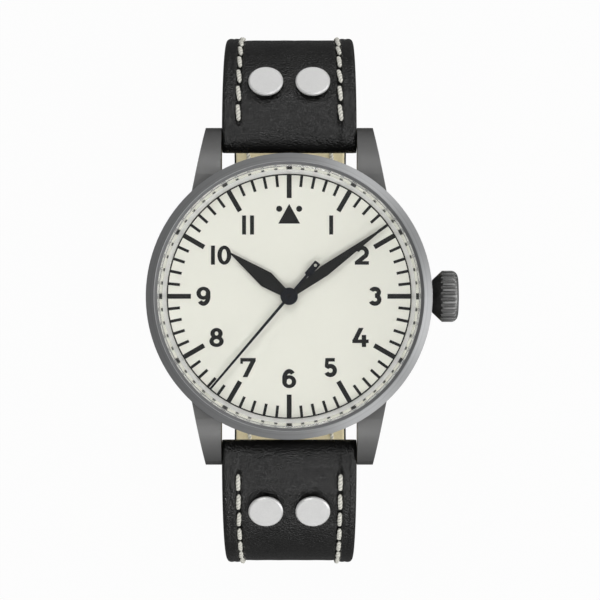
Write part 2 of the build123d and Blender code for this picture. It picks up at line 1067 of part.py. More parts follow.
def screw(middle, head_radius, head_low, head_high, slot_up, shank_end):
    """A slotted screw; the slot is in the end of the head away from the shank."""
    x, y = middle
    slot_low = head_high - screw_slot_depth if slot_up else head_low
    slot_high = slot_low + screw_slot_depth
    with BuildPart() as body:
        add(disc(middle, head_radius, head_low, head_high))
        add(disc(middle, screw_shank, min(head_low, shank_end), max(head_high, shank_end)))
        slot = slab(
            x - head_radius, x + head_radius,
            y - screw_slot_width / 2, y + screw_slot_width / 2,
            slot_low, slot_high,
        )
        add(slot, mode=Mode.SUBTRACT)
    return body.part


def bridge_screw_middles():
    angles = barrel_bridge_screw_angles + train_bridge_screw_angles
    places = [polar(bridge_screw_reach, angle) for angle in angles]
    return places + [balance_foot_right, balance_foot_left]


def make_movement_screws():
    with BuildPart() as movement_screws:
        for angle in ring_screw_angles:
            head_low = ring_high - screw_head_height
            place = polar(ring_screw_reach, angle)
            add(screw(place, ring_screw_head, head_low, ring_high, True, ring_screw_end))
        for place in bridge_screw_middles():
            head_high = bridge_low + screw_head_height
            add(screw(place, screw_head, bridge_low, head_high, False, bridge_screw_end))
        head_high = pallet_cock_low
        place = (pallet_foot_x, pallet_foot_y)
        add(screw(place, screw_head, pallet_screw_head_low, head_high, False, pallet_screw_end))
    return movement_screws


def make_dial():
    with BuildPart() as dial:
        add(disc((0, 0), dial_radius, dial_low, dial_high, dial_hole))
        for angle in dial_foot_angles:
            place = polar(dial_foot_reach, angle)
            add(disc(place, dial_foot_radius, dial_low - dial_foot_length, dial_low))
    return dial


def oval(width, height, middle=(0, 0)):
    """A closed oval drawn with the numeral stroke, a little thinner at its top and bottom."""
    with BuildSketch() as ring:
        with Locations(middle):
            Ellipse(width / 2, height / 2)
            Ellipse(width / 2 - stroke, height / 2 - thin_stroke, mode=Mode.SUBTRACT)
    return ring.sketch


def upright(x=0):
    with BuildSketch() as bar:
        with Locations((x, 0)):
            Rectangle(bar_stroke, numeral_height)
    return bar.sketch


def one():
    return upright()


def two():
    reach = (two_width - stroke) / 2
    half = (numeral_height - stroke) / 2
    with BuildSketch() as figure:
        with BuildLine() as path:
            bow = CenterArc((0, half - reach), reach, two_bow_start, two_bow_sweep)
            Line(bow @ 1, (-reach, -half))
        trace(path.line, line_width=stroke)
        with Locations((0, (thin_stroke - numeral_height) / 2)):
            Rectangle(two_width, thin_stroke)
    return figure.sketch


def three():
    half = (numeral_height - stroke) / 2
    reach = (three_width - stroke) / 2
    low_tall = half * 6 / 11
    high_tall = half - low_tall
    with BuildSketch() as figure:
        with BuildLine() as low:
            middle = (0, low_tall - half)
            EllipticalCenterArc(middle, reach, low_tall, three_low_start, arc_size=three_bow_sweep)
        trace(low.line, line_width=stroke)
        with BuildLine() as high:
            middle = (0, half - high_tall)
            EllipticalCenterArc(middle, reach * 9 / 10, high_tall, -90, arc_size=three_bow_sweep)
        trace(high.line, line_width=stroke)
    return figure.sketch


def four():
    mast_height = numeral_height * four_mast_share
    level = -numeral_height / 5
    with BuildSketch() as figure:
        with BuildLine() as path:
            Line((four_width / 3, numeral_height), (stroke / 2 - four_width / 2, level))
        trace(path.line, line_width=stroke)
        Rectangle(2 * four_width, numeral_height, mode=Mode.INTERSECT)
        with Locations((0, level)):
            Rectangle(four_width, thin_stroke)
        with Locations((four_mast_x, (mast_height - numeral_height) / 2)):
            Rectangle(stroke, mast_height)
    return figure.sketch


def five():
    half = (numeral_height - stroke) / 2
    high = (numeral_height - thin_stroke) / 2
    reach = (five_width - stroke) / 2
    with BuildSketch() as figure:
        with BuildLine() as path:
            Polyline((reach, high), (-reach * 3 / 4, high), (-reach * 6 / 7, stroke / 4))
        trace(path.line, line_width=thin_stroke)
        with BuildLine() as bow:
            CenterArc((0, reach - half), reach, five_bow_start, five_bow_sweep)
        trace(bow.line, line_width=stroke)
    return figure.sketch


def six():
    half = (numeral_height - stroke) / 2
    reach = (six_width - stroke) / 2
    with BuildSketch() as figure:
        add(oval(six_width, six_bowl, (0, (six_bowl - numeral_height) / 2)))
        with BuildLine() as path:
            EllipticalCenterArc((0, 0), reach, half, six_hook_start, arc_size=six_hook_sweep)
        trace(path.line, line_width=stroke)
    return figure.sketch


def seven():
    half = (numeral_height - stroke) / 2
    reach = (seven_width - stroke) / 2
    with BuildSketch() as figure:
        with BuildLine() as path:
            Line((reach, half), (-reach * 5 / 6, -numeral_height * 2 / 3))
        trace(path.line, line_width=stroke)
        Rectangle(2 * seven_width, numeral_height, mode=Mode.INTERSECT)
        with Locations((0, (numeral_height - thin_stroke) / 2)):
            Rectangle(seven_width, thin_stroke)
        with Locations(((seven_serif - seven_width) / 2, (numeral_height - seven_serif_drop) / 2)):
            Rectangle(seven_serif, seven_serif_drop)
    return figure.sketch


def eight():
    low_height = numeral_height * 3 / 5
    high_height = numeral_height - low_height + thin_stroke
    with BuildSketch() as figure:
        add(oval(eight_width, low_height, (0, (low_height - numeral_height) / 2)))
        add(oval(eight_width * 6 / 7, high_height, (0, (numeral_height - high_height) / 2)))
    return figure.sketch


def nine():
    return six().rotate(Axis.Z, 180)


def ten():
    with BuildSketch() as figure:
        add(upright((bar_stroke - ten_width) / 2))
        add(oval(zero_width, numeral_height, ((ten_width - zero_width) / 2, 0)))
    return figure.sketch


def eleven():
    shift = (eleven_width - bar_stroke) / 2
    with BuildSketch() as figure:
        add(upright(-shift))
        add(upright(shift))
    return figure.sketch


def make_dial_print():
    drawn = (one, two, three, four, five, six, seven, eight, nine, ten, eleven)
    figures = [figure() for figure in drawn]
    with BuildPart() as dial_print:
        with BuildSketch(Plane.XY.offset(dial_high)):
            Circle(track_outer)
            Circle(track_inner, mode=Mode.SUBTRACT)
            for minute in range(minutes_round):
                hour = minute % (minutes_round // hours_round) == 0
                inner = hour_tick_inner if hour else tick_inner
                width = hour_tick_width if hour else tick_width
                turn = minute * 360 / minutes_round
                with Locations(Location(clock((inner + track_inner) / 2, turn), -turn)):
                    Rectangle(width, track_inner - inner + print_height)
            Polygon(
                (0, triangle_tip),
                (-triangle_width / 2, triangle_base),
                (triangle_width / 2, triangle_base),
                align=None,
            )
            with Locations((-dot_x, dot_y), (dot_x, dot_y)):
                Circle(dot_radius)
            for hour, figure in enumerate(figures, 1):
                level = hour % (hours_round // 2) == hours_round // 4
                reach = side_numeral_reach if level else numeral_reach
                x, y = clock(reach, hour * 360 / hours_round)
                with Locations((x + numeral_shifts[hour - 1], y)):
                    add(figure)
        extrude(amount=print_height)
    return dial_print


def lozenge(tip, wide, wide_at, root):
    return (
        (-root / 2, 0),
        (-wide / 2, wide_at),
        (-hand_point / 2, tip),
        (hand_point / 2, tip),
        (wide / 2, wide_at),
        (root / 2, 0),
    )


def make_hour_hand():
    outline = lozenge(hour_hand_tip, hour_hand_wide, hour_hand_wide_at, hour_hand_root)
    with BuildPart() as hour_hand:
        with BuildSketch(Plane.XY.offset(hour_hand_low)):
            with Locations(Location((0, 0), -hour_hand_clock)):
                Polygon(*outline, align=None)
            Circle(hour_hub_radius)
            Circle(hour_tube + hand_clearance, mode=Mode.SUBTRACT)
        extrude(amount=hour_hand_high - hour_hand_low)
    return hour_hand


def make_minute_hand():
    outline = lozenge(minute_hand_tip, minute_hand_wide, minute_hand_wide_at, minute_hand_root)
    with BuildPart() as minute_hand:
        with BuildSketch(Plane.XY.offset(minute_hand_low)):
            with Locations(Location((0, 0), -minute_hand_clock)):
                Polygon(*outline, align=None)
            Circle(minute_hub_radius)
            Circle(cannon_tube + hand_clearance, mode=Mode.SUBTRACT)
        extrude(amount=minute_hand_high - minute_hand_low)
    return minute_hand


def make_seconds_hand():
    hub = turned(
        (
            (seconds_arbor + hand_clearance, seconds_hub_low),
            (seconds_hub_radius, seconds_hub_low),
            (seconds_hub_radius, seconds_hub_high - seconds_hub_bevel),
            (seconds_hub_radius - seconds_hub_bevel, seconds_hub_high),
            (seconds_pip_radius, seconds_hub_high),
            (seconds_arbor + hand_clearance, seconds_hub_high - hand_clearance),
        )
    )
    with BuildPart() as seconds_hand:
        with BuildSketch(Plane.XY.offset(seconds_hand_low)):
            with Locations(Location((0, 0), -seconds_hand_clock)):
                Polygon(
                    (-seconds_width / 2, 0),
                    (-seconds_point, seconds_tip),
                    (seconds_point, seconds_tip),
                    (seconds_width / 2, 0),
                    align=None,
                )
                with Locations((0, -seconds_paddle_start / 2)):
                    Rectangle(seconds_neck, seconds_paddle_start)
                with Locations((0, -(seconds_paddle_start + seconds_paddle_end) / 2)):
                    RectangleRounded(
                        seconds_paddle_width,
                        seconds_paddle_end - seconds_paddle_start,
                        seconds_paddle_width / 5,
                    )
                with Locations((0, -seconds_eye_at)):
                    Circle(seconds_eye_radius, mode=Mode.SUBTRACT)
            Circle(seconds_arbor + hand_clearance, mode=Mode.SUBTRACT)
        extrude(amount=seconds_hand_high - seconds_hand_low)
        add(hub)
    return seconds_hand


train_jewels = ((0, 0), (third_x, third_y), (escape_x, escape_y))
plate_jewels = ((third_x, third_y), (escape_x, escape_y), (pallet_x, pallet_y), (balance_x, balance_y))


def make_main_plate():
    recess_depth = plate_high - recess_floor
    with BuildPart() as main_plate:
        add(disc((0, 0), plate_radius, plate_low, plate_high))
        add(slab(boss_start, boss_end, -boss_half, boss_half, boss_low, plate_low))
        add(slab(pocket_end, outer_boss_end, -outer_boss_half, outer_boss_half, boss_low, plate_low))
        with BuildSketch(Plane.XY.offset(recess_floor)):
            Circle(centre_recess)
            with Locations((motion_reach, 0)):
                Circle(minute_recess)
            with Locations((2 * motion_reach, 0)):
                Circle(setting_recess)
            with Locations(((keyless_start + keyless_end) / 2, (keyless_low_y + keyless_high_y) / 2)):
                RectangleRounded(
                    keyless_end - keyless_start, keyless_high_y - keyless_low_y, setting_recess
                )
        extrude(amount=recess_depth, mode=Mode.SUBTRACT)
        pocket = slab(pocket_start, pocket_end, -pocket_half, pocket_half, plate_low, plate_high)
        add(pocket, mode=Mode.SUBTRACT)
        add(rod(pocket_end, plate_radius, stem_hole), mode=Mode.SUBTRACT)
        add(rod(stem_tip - 2 * slit, pocket_start, pilot_hole), mode=Mode.SUBTRACT)
        add(disc((0, 0), plate_centre_hole, plate_low, recess_floor), mode=Mode.SUBTRACT)
        barrel_hole = barrel_pivot + barrel_arbor_clearance
        add(disc((barrel_x, barrel_y), barrel_hole, plate_low, plate_screw_floor), mode=Mode.SUBTRACT)
        for place in plate_jewels:
            add(disc(place, jewel_hole, plate_low, plate_jewel_low + jewel_height), mode=Mode.SUBTRACT)
        for place in bridge_screw_middles():
            add(disc(place, screw_hole, plate_low, plate_screw_floor), mode=Mode.SUBTRACT)
        foot = (pallet_foot_x, pallet_foot_y)
        add(disc(foot, screw_hole, plate_low, plate_screw_floor), mode=Mode.SUBTRACT)
        for angle in dial_foot_angles:
            place = polar(dial_foot_reach, angle)
            hole = disc(place, dial_foot_radius + post_clearance, plate_low, plate_high)
            add(hole, mode=Mode.SUBTRACT)
        add(disc((motion_reach, 0), post_radius, recess_floor, hour_wheel_high))
        add(disc((2 * motion_reach, 0), post_radius, recess_floor, minute_wheel_high))
        add(disc((lever_x, lever_y), lever_pivot, recess_floor, lever_high))
        add(disc((yoke_x, yoke_y), lever_pivot, recess_floor, lever_high))
    return main_plate


def half_bridge(upper):
    """One side of the slanted line that parts the two big bridges."""
    reach = bridge_radius + past
    shift = slit / 2 if upper else -slit / 2
    left = parting_y + shift + parting_slope * (plate_radius - reach)
    right = parting_y + shift + parting_slope * (plate_radius + reach)
    far = 2 * reach if upper else -2 * reach
    with BuildSketch() as half:
        Circle(bridge_radius)
        corners = ((-reach, left), (reach, right), (reach, far), (-reach, far))
        Polygon(*corners, align=None, mode=Mode.INTERSECT)
    return half.sketch


def make_barrel_bridge():
    plan = half_bridge(True)
    with BuildPart() as barrel_bridge:
        with BuildSketch(Plane.XY.offset(bridge_low)):
            add(plan)
        extrude(amount=bridge_high - bridge_low)
        with BuildSketch(Plane.XY.offset(bridge_high)):
            add(plan)
            Circle(foot_inner, mode=Mode.SUBTRACT)
            foot_width = bridge_radius - foot_inner
            with Locations((bridge_radius, 0)):
                Rectangle(2 * foot_width + past, 3 * outer_boss_half, mode=Mode.SUBTRACT)
        extrude(amount=plate_low - bridge_high)
        add(disc((0, 0), jewel_hole, bridge_low, bridge_high), mode=Mode.SUBTRACT)
        bore = barrel_arbor_radius + barrel_arbor_clearance
        add(disc((barrel_x, barrel_y), bore, bridge_low, bridge_high), mode=Mode.SUBTRACT)
        add(disc((crown_wheel_x, 0), crown_wheel_bore, bridge_low, bridge_high), mode=Mode.SUBTRACT)
        add(disc((click_x, click_y), click_post, click_low, bridge_low))
        for angle in barrel_bridge_screw_angles:
            screw_seat(polar(bridge_screw_reach, angle))
    return barrel_bridge


def screw_seat(place):
    """A screw hole with a sunk seat for its head, cut into the current part."""
    seat_high = bridge_low + screw_head_height
    add(disc(place, screw_hole, bridge_low, plate_low), mode=Mode.SUBTRACT)
    add(disc(place, screw_head + head_clearance, bridge_low, seat_high), mode=Mode.SUBTRACT)


def make_train_bridge():
    with BuildSketch() as plan:
        add(half_bridge(False))
        with Locations((balance_x, balance_y)):
            Circle(balance_window, mode=Mode.SUBTRACT)
        with Locations(balance_foot_right, balance_foot_left):
            Circle(balance_foot + bridge_gap, mode=Mode.SUBTRACT)
        for foot in (balance_foot_right, balance_foot_left):
            with BuildLine() as leg:
                Line((balance_x, balance_y), foot)
            trace(leg.line, line_width=balance_bridge_width + 2 * bridge_gap, mode=Mode.SUBTRACT)
        Polygon(
            polar(balance_window, balance_mouth_angle),
            polar(2 * foot_inner, balance_mouth_angle - balance_mouth_half),
            polar(2 * foot_inner, balance_mouth_angle + balance_mouth_half),
            align=None,
            mode=Mode.SUBTRACT,
        )
    with BuildPart() as train_bridge:
        with BuildSketch(Plane.XY.offset(bridge_low)):
            add(plan.sketch)
        extrude(amount=bridge_high - bridge_low)
        with BuildSketch(Plane.XY.offset(bridge_high)):
            add(plan.sketch)
            Circle(foot_inner, mode=Mode.SUBTRACT)
        extrude(amount=plate_low - bridge_high)
        for place in ((third_x, third_y), (escape_x, escape_y)):
            add(disc(place, jewel_hole, bridge_low, bridge_high), mode=Mode.SUBTRACT)
        for angle in train_bridge_screw_angles:
            screw_seat(polar(bridge_screw_reach, angle))
    return train_bridge


def make_balance_bridge():
    balance = (balance_x, balance_y)
    with BuildPart() as balance_bridge:
        for foot in (balance_foot_right, balance_foot_left):
            add(bar_between(balance, foot, balance_bridge_width, bridge_low, balance_bridge_high))
            add(disc(foot, balance_foot, bridge_low, plate_low))
        add(disc(balance, balance_boss, bridge_low, balance_bridge_high))
        for foot in (balance_foot_right, balance_foot_left):
            screw_seat(foot)
        stud = (balance_x + hairspring_inner + hairspring_step * hairspring_turns / 2, balance_y)
        add(bar_between(balance, stud, collet_radius, bridge_low, balance_bridge_high))
        add(disc(balance, jewel_hole, bridge_low, balance_bridge_high), mode=Mode.SUBTRACT)
        add(disc(stud, stud_radius, balance_bridge_high, hairspring_low - square_clearance))
    return balance_bridge


def make_pallet_cock():
    foot = (pallet_foot_x, pallet_foot_y)
    with BuildPart() as pallet_cock:
        add(bar_between((pallet_x, pallet_y), foot, 2 * pallet_boss, pallet_cock_low, pallet_cock_high))
        add(disc(foot, pallet_foot_radius, pallet_cock_low, plate_low))
        jewel_seat = disc((pallet_x, pallet_y), jewel_hole, pallet_cock_low, pallet_cock_high)
        add(jewel_seat, mode=Mode.SUBTRACT)
        add(disc(foot, screw_hole, pallet_cock_low, plate_low), mode=Mode.SUBTRACT)
    return pallet_cock


def make_bearing_jewels():
    with BuildPart() as bearing_jewels:
        for places, low in ((train_jewels, bridge_jewel_low), (plate_jewels, plate_jewel_low)):
            for place in places:
                add(disc(place, jewel_radius, low, low + jewel_height, jewel_bore))
        balance = (balance_x, balance_y)
        balance_jewel_high = balance_jewel_low + jewel_height
        add(disc(balance, jewel_radius, balance_jewel_low, balance_jewel_high, jewel_bore))
        pallet = (pallet_x, pallet_y)
        pallet_jewel_high = pallet_jewel_low + pallet_jewel_height
        add(disc(pallet, jewel_radius, pallet_jewel_low, pallet_jewel_high, jewel_bore))
    return bearing_jewels


def square_hole(middle, side, low, high):
    x, y = middle
    return slab(x - side / 2, x + side / 2, y - side / 2, y + side / 2, low, high)


def make_barrel():
    middle = (barrel_x, barrel_y)
    bore = barrel_arbor_radius + barrel_arbor_clearance
    outline = wheel_outline(barrel_teeth, barrel_module, barrel_turn)
    with BuildPart() as barrel:
        add(disc(middle, barrel_drum, barrel_low, barrel_high))
        add(gear(middle, outline, barrel_tooth_low, barrel_tooth_high))
        cavity = disc(middle, barrel_cavity, barrel_low + barrel_wall, barrel_high - barrel_wall)
        add(cavity, mode=Mode.SUBTRACT)
        add(disc(middle, bore, barrel_low, barrel_high), mode=Mode.SUBTRACT)
    return barrel


def spiral(middle, low, high, thickness, inner, step, turns):
    """A flat spring of half circles whose radius grows by a fixed step."""
    x, y = middle
    with BuildPart() as spring:
        with BuildSketch(Plane.XY.offset(low)):
            with BuildLine() as coil:
                side = 1
                shift = 0
                radius = inner
                for half_turn in range(turns):
                    start_angle = 0 if side > 0 else 180
                    CenterArc((x + shift, y), radius, start_angle, 180)
                    shift += side * step / 2
                    radius += step / 2
                    side = -side
            trace(coil.line, line_width=thickness)
        extrude(amount=high - low)
    return spring


def make_mainspring():
    low = barrel_low + barrel_wall + mainspring_gap
    high = barrel_high - barrel_wall - mainspring_gap
    middle = (barrel_x, barrel_y)
    sizes = (mainspring_thickness, mainspring_inner, mainspring_step, mainspring_turns)
    return spiral(middle, low, high, *sizes)


def make_barrel_arbor():
    middle = (barrel_x, barrel_y)
    with BuildPart() as barrel_arbor:
        body_low = ratchet_high + square_clearance
        add(disc(middle, barrel_arbor_radius, body_low, barrel_high + square_clearance))
        core_low = barrel_low + barrel_wall + square_clearance
        core_high = barrel_high - barrel_wall - square_clearance
        add(disc(middle, barrel_arbor_core, core_low, core_high))
        add(disc(middle, barrel_pivot, barrel_high, barrel_pivot_top))
        add(square_hole(middle, ratchet_square, ratchet_low, ratchet_high + 2 * square_clearance))
    return barrel_arbor


def make_ratchet_wheel():
    middle = (barrel_x, barrel_y)
    outline = wheel_outline(ratchet_teeth, ratchet_module, ratchet_turn)
    with BuildPart() as ratchet_wheel:
        add(gear(middle, outline, ratchet_low, ratchet_high))
        hole = square_hole(middle, ratchet_square + 2 * square_clearance, ratchet_low, ratchet_high)
        add(hole, mode=Mode.SUBTRACT)
    return ratchet_wheel


def make_crown_wheel():
    middle = (crown_wheel_x, 0)
    with BuildPart() as crown_wheel:
        outline = wheel_outline(crown_wheel_teeth, ratchet_module, crown_wheel_turn)
        add(gear(middle, outline, ratchet_low, ratchet_high))
        add(disc(middle, crown_wheel_hub, ratchet_high, bridge_high + square_clearance))
        add(disc(middle, crown_wheel_boss, bridge_high, contrate_web_high))
        add(disc(middle, contrate_outer, contrate_low, contrate_web_high, contrate_bore))
        add(disc(middle, contrate_outer, contrate_web_high, contrate_high, contrate_inner))
        with BuildSketch(Plane.XY.offset(contrate_high)):
            with Locations(middle):
                with PolarLocations((contrate_inner + contrate_outer) / 2, contrate_teeth):
                    Rectangle(contrate_outer - contrate_inner - slit / 2, contrate_tooth)
        extrude(amount=contrate_tip - contrate_high)
    return crown_wheel


def make_click():
    nose_reach = ratchet_teeth * ratchet_module / 2 + wheel_tip_share * ratchet_module + click_nose_gap
    nose_angle = click_angle - click_nose_turn
    nose_x = barrel_x + (nose_reach + click_width / 4) * cos(radians(nose_angle))
    nose_y = barrel_y + (nose_reach + click_width / 4) * sin(radians(nose_angle))
    with BuildPart() as click:
        add(bar_between((click_x, click_y), (nose_x, nose_y), click_width / 2, click_low, click_high))
        add(disc((click_x, click_y), click_width, click_low, click_high))
        hole = disc((click_x, click_y), click_post + post_clearance, click_low, click_high)
        add(hole, mode=Mode.SUBTRACT)
    return click


def make_centre_wheel():
    middle = (0, 0)
    outline = leaf_outline(centre_pinion_leaves, barrel_module, centre_pinion_turn)
    heights = (centre_wheel_low, centre_wheel_high)
    with BuildPart() as centre_wheel:
        add(crossed_wheel(middle, centre_teeth, centre_module, centre_turn, *heights))
        add(gear(middle, outline, centre_pinion_low, centre_pinion_high))
        add(disc((0, 0), centre_tube, centre_tube_low, centre_tube_top))
        add(disc((0, 0), centre_tube_bore, centre_tube_low, centre_tube_top), mode=Mode.SUBTRACT)
    return centre_wheel


def make_third_wheel():
    middle = (third_x, third_y)
    outline = leaf_outline(third_leaves, centre_module, third_pinion_turn)
    heights = (third_wheel_low, third_wheel_high)
    with BuildPart() as third_wheel:
        add(crossed_wheel(middle, third_teeth, third_module, third_turn, *heights))
        add(gear(middle, outline, third_pinion_low, third_pinion_high))
        add(arbor(middle, bridge_high + slit / 4, plate_low - slit / 4))
    return third_wheel


def make_fourth_wheel():
    middle = (0, 0)
    outline = leaf_outline(fourth_leaves, third_module, fourth_pinion_turn)
    heights = (fourth_wheel_low, fourth_wheel_high)
    with BuildPart() as fourth_wheel:
        add(crossed_wheel(middle, fourth_teeth, fourth_module, fourth_turn, *heights))
        add(gear(middle, outline, fourth_pinion_low, fourth_pinion_high))
        add(disc((0, 0), seconds_arbor, bridge_high + slit / 4, seconds_hub_high - seconds_hub_bevel))
        add(disc((0, 0), pivot_radius, bridge_high - pivot_length, bridge_high + slit))
    return fourth_wheel


def make_escape_wheel():
    middle = (escape_x, escape_y)
    step = 360 / escape_teeth
    teeth = []
    for number in range(escape_teeth):
        angle = number * step
        teeth.append(polar(escape_rim, angle))
        teeth.append(polar(escape_wheel_radius, angle + escape_tooth_lean))
        teeth.append(polar(escape_wheel_radius, angle + escape_tooth_lean + step / 12))
        teeth.append(polar(escape_rim, angle + step / 3))
    with BuildPart() as escape_wheel:
        with BuildSketch(Plane.XY.offset(escape_wheel_low)):
            with Locations(middle):
                Polygon(*teeth, align=None)
                Circle(escape_rim - wheel_rim / 2, mode=Mode.SUBTRACT)
                for spoke in range(escape_spokes):
                    Rectangle(2 * escape_rim - wheel_rim / 4, spoke_width / 2, rotation=spoke * 90)
                Circle(wheel_hub / 2)
        extrude(amount=escape_wheel_high - escape_wheel_low)
        outline = leaf_outline(escape_leaves, fourth_module, escape_pinion_turn)
        add(gear(middle, outline, escape_pinion_low, escape_pinion_high))
        add(arbor(middle, bridge_high + slit / 4, plate_low - slit / 4, wheel_hub / 4))
    return escape_wheel


def make_pallet_fork():
    to_balance = degrees(atan2(balance_y - pallet_y, balance_x - pallet_x))
    to_escape = degrees(atan2(escape_y - pallet_y, escape_x - pallet_x))
    length = hypot(balance_x - pallet_x, balance_y - pallet_y) - fork_end_gap
    middle = Vector(pallet_x, pallet_y)
    head = middle + Vector(*polar(length - fork_head_length / 2, to_balance))
    with BuildPart() as pallet_fork:
        neck_end = middle + Vector(*polar(length - fork_head_length, to_balance))
        add(bar_between(middle, neck_end, fork_width, fork_low, fork_high))
        with BuildSketch(Plane.XY.offset(fork_low)):
            with Locations(Location((head.X, head.Y), to_balance)):
                Rectangle(fork_head_length, fork_head_width)
                with Locations((fork_head_length / 3, 0)):
                    Rectangle(fork_head_length, fork_slot_width, mode=Mode.SUBTRACT)
        extrude(amount=fork_high - fork_low)
        for side in (1, -1):
            angle = to_escape + side * fork_arm_spread
            reach = hypot(escape_x - pallet_x, escape_y - pallet_y)
            arm_end = middle + Vector(*polar(fork_arm_reach, angle + side * fork_arm_spread / 2))
            add(bar_between(middle, arm_end, fork_width, fork_low, fork_high))
            away = arm_end - Vector(escape_x, escape_y)
            stone_reach = escape_wheel_radius + stone_gap + stone_length / 2
            stone = Vector(escape_x, escape_y) + away.normalized() * stone_reach
            turn = degrees(atan2(away.Y, away.X))
            with BuildSketch(Plane.XY.offset(fork_low)):
                with Locations(Location((stone.X, stone.Y), turn)):
                    Rectangle(stone_length, stone_width)
            extrude(amount=stone_high - fork_low)
            add(bar_between(arm_end, stone, fork_width, fork_low, fork_high))
        arbor_low = pallet_cock_high + slit / 5
        add(arbor((pallet_x, pallet_y), arbor_low, plate_low - slit / 4, pivot_radius * 2))
    return pallet_fork


def make_balance_wheel():
    middle = (balance_x, balance_y)
    with BuildPart() as balance_wheel:
        rim_inner = balance_radius - balance_rim
        add(disc(middle, balance_radius, balance_rim_low, balance_rim_high, rim_inner))
        for turn in (0, 90):
            with BuildSketch(Plane.XY.offset(balance_arm_low)):
                with Locations(Location(middle, turn)):
                    Rectangle(2 * balance_radius - balance_rim, balance_arm_width)
            extrude(amount=balance_arm_high - balance_arm_low)
        add(disc(middle, staff_radius, collet_high, plate_low - slit / 4))
        add(disc(middle, pivot_radius, balance_jewel_low, plate_low + pivot_length))
        add(disc(middle, roller_radius, roller_low, roller_high))
        to_pallet = degrees(atan2(pallet_y - balance_y, pallet_x - balance_x))
        pin = Vector(balance_x, balance_y) + Vector(*polar(impulse_pin_reach, to_pallet))
        add(disc((pin.X, pin.Y), impulse_pin_radius, roller_low, impulse_pin_high))
    return balance_wheel


def make_hairspring():
    middle = (balance_x, balance_y)
    sizes = (hairspring_thickness, hairspring_inner, hairspring_step, hairspring_turns)
    spring = spiral(middle, hairspring_low, hairspring_high, *sizes)
    collet = collet_radius + 2 * hairspring_thickness
    with BuildPart() as hairspring:
        add(spring.part)
        add(disc(middle, collet, collet_low, collet_high, pivot_radius + hand_clearance))
    return hairspring


def make_cannon_pinion():
    with BuildPart() as cannon_pinion:
        add(disc((0, 0), cannon_tube, cannon_low, cannon_top))
        add(gear((0, 0), leaf_outline(cannon_leaves, motion_module, 0), cannon_low, cannon_tooth_high))
        add(disc((0, 0), cannon_bore, cannon_low, cannon_top), mode=Mode.SUBTRACT)
    return cannon_pinion


def make_hour_wheel():
    outline = wheel_outline(hour_teeth, hour_module, hour_turn)
    with BuildPart() as hour_wheel:
        add(gear((0, 0), outline, hour_wheel_low, hour_wheel_high))
        add(disc((0, 0), hour_tube, hour_wheel_low, hour_tube_top))
        add(disc((0, 0), hour_tube_bore, hour_wheel_low, hour_tube_top), mode=Mode.SUBTRACT)
    return hour_wheel


def make_minute_wheel():
    middle = (motion_reach, 0)
    teeth = wheel_outline(minute_teeth, motion_module, minute_turn)
    leaves = leaf_outline(minute_leaves, hour_module, minute_pinion_turn)
    with BuildPart() as minute_wheel:
        add(gear(middle, teeth, minute_wheel_low, minute_wheel_high))
        add(gear(middle, leaves, minute_wheel_high, hour_wheel_high))
        bore = disc(middle, post_radius + post_clearance, minute_wheel_low, hour_wheel_high)
        add(bore, mode=Mode.SUBTRACT)
    return minute_wheel


def make_setting_wheel():
    middle = (2 * motion_reach, 0)
    with BuildPart() as setting_wheel:
        outline = leaf_outline(setting_teeth, motion_module, setting_turn)
        add(gear(middle, outline, minute_wheel_low, minute_wheel_high, post_radius + post_clearance))
    return setting_wheel


def make_winding_pinion():
    shares = (leaf_foot_share, leaf_crest_share)
    turn = 90 + 180 / winding_leaves
    outline = tooth_ring(winding_leaves, winding_root, winding_tip, *shares, turn)
    with BuildPart() as winding_pinion:
        with BuildSketch(Plane.YZ.offset(winding_start)):
            with Locations((0, stem_height)):
                Polygon(*outline, align=None)
                Circle(winding_bore, mode=Mode.SUBTRACT)
        extrude(amount=winding_end - winding_start)
    return winding_pinion


def make_sliding_pinion():
    with BuildPart() as sliding_pinion:
        add(rod(sliding_start, sliding_end, sliding_radius))
        groove = turned(
            (
                (sliding_groove_start, stem_height + sliding_groove_radius),
                (sliding_groove_end, stem_height + sliding_groove_radius),
                (sliding_groove_end, stem_height + sliding_radius + past),
                (sliding_groove_start, stem_height + sliding_radius + past),
            ),
            stem_axis,
        )
        add(groove, mode=Mode.SUBTRACT)
        half = sliding_square / 2
        hole = slab(sliding_start, sliding_end, -half, half, stem_height - half, stem_height + half)
        add(hole, mode=Mode.SUBTRACT)
        for start in (sliding_start, sliding_end - castle_depth):
            with BuildSketch(Plane.YZ.offset(start)):
                with Locations((0, stem_height)):
                    with PolarLocations(sliding_radius, castle_teeth):
                        Rectangle(castle_width * 2, castle_width)
            extrude(amount=castle_depth, mode=Mode.SUBTRACT)
    return sliding_pinion


def make_winding_stem():
    height = stem_height
    shaft = turned(
        (
            (stem_square_end, height),
            (stem_square_end, height + stem_radius),
            (stem_groove_start, height + stem_radius),
            (stem_groove_start, height + stem_groove_radius),
            (stem_groove_end, height + stem_groove_radius),
            (stem_groove_end, height + stem_radius),
            (stem_neck_start, height + stem_radius),
            (stem_neck_start, height + stem_neck),
            (stem_end, height + stem_neck),
            (stem_end, height),
        ),
        stem_axis,
    )
    half = stem_square / 2
    with BuildPart() as winding_stem:
        add(rod(stem_tip, stem_pilot_end, stem_pilot))
        add(slab(stem_pilot_end, stem_square_end, -half, half, height - half, height + half))
        add(shaft)
    return winding_stem


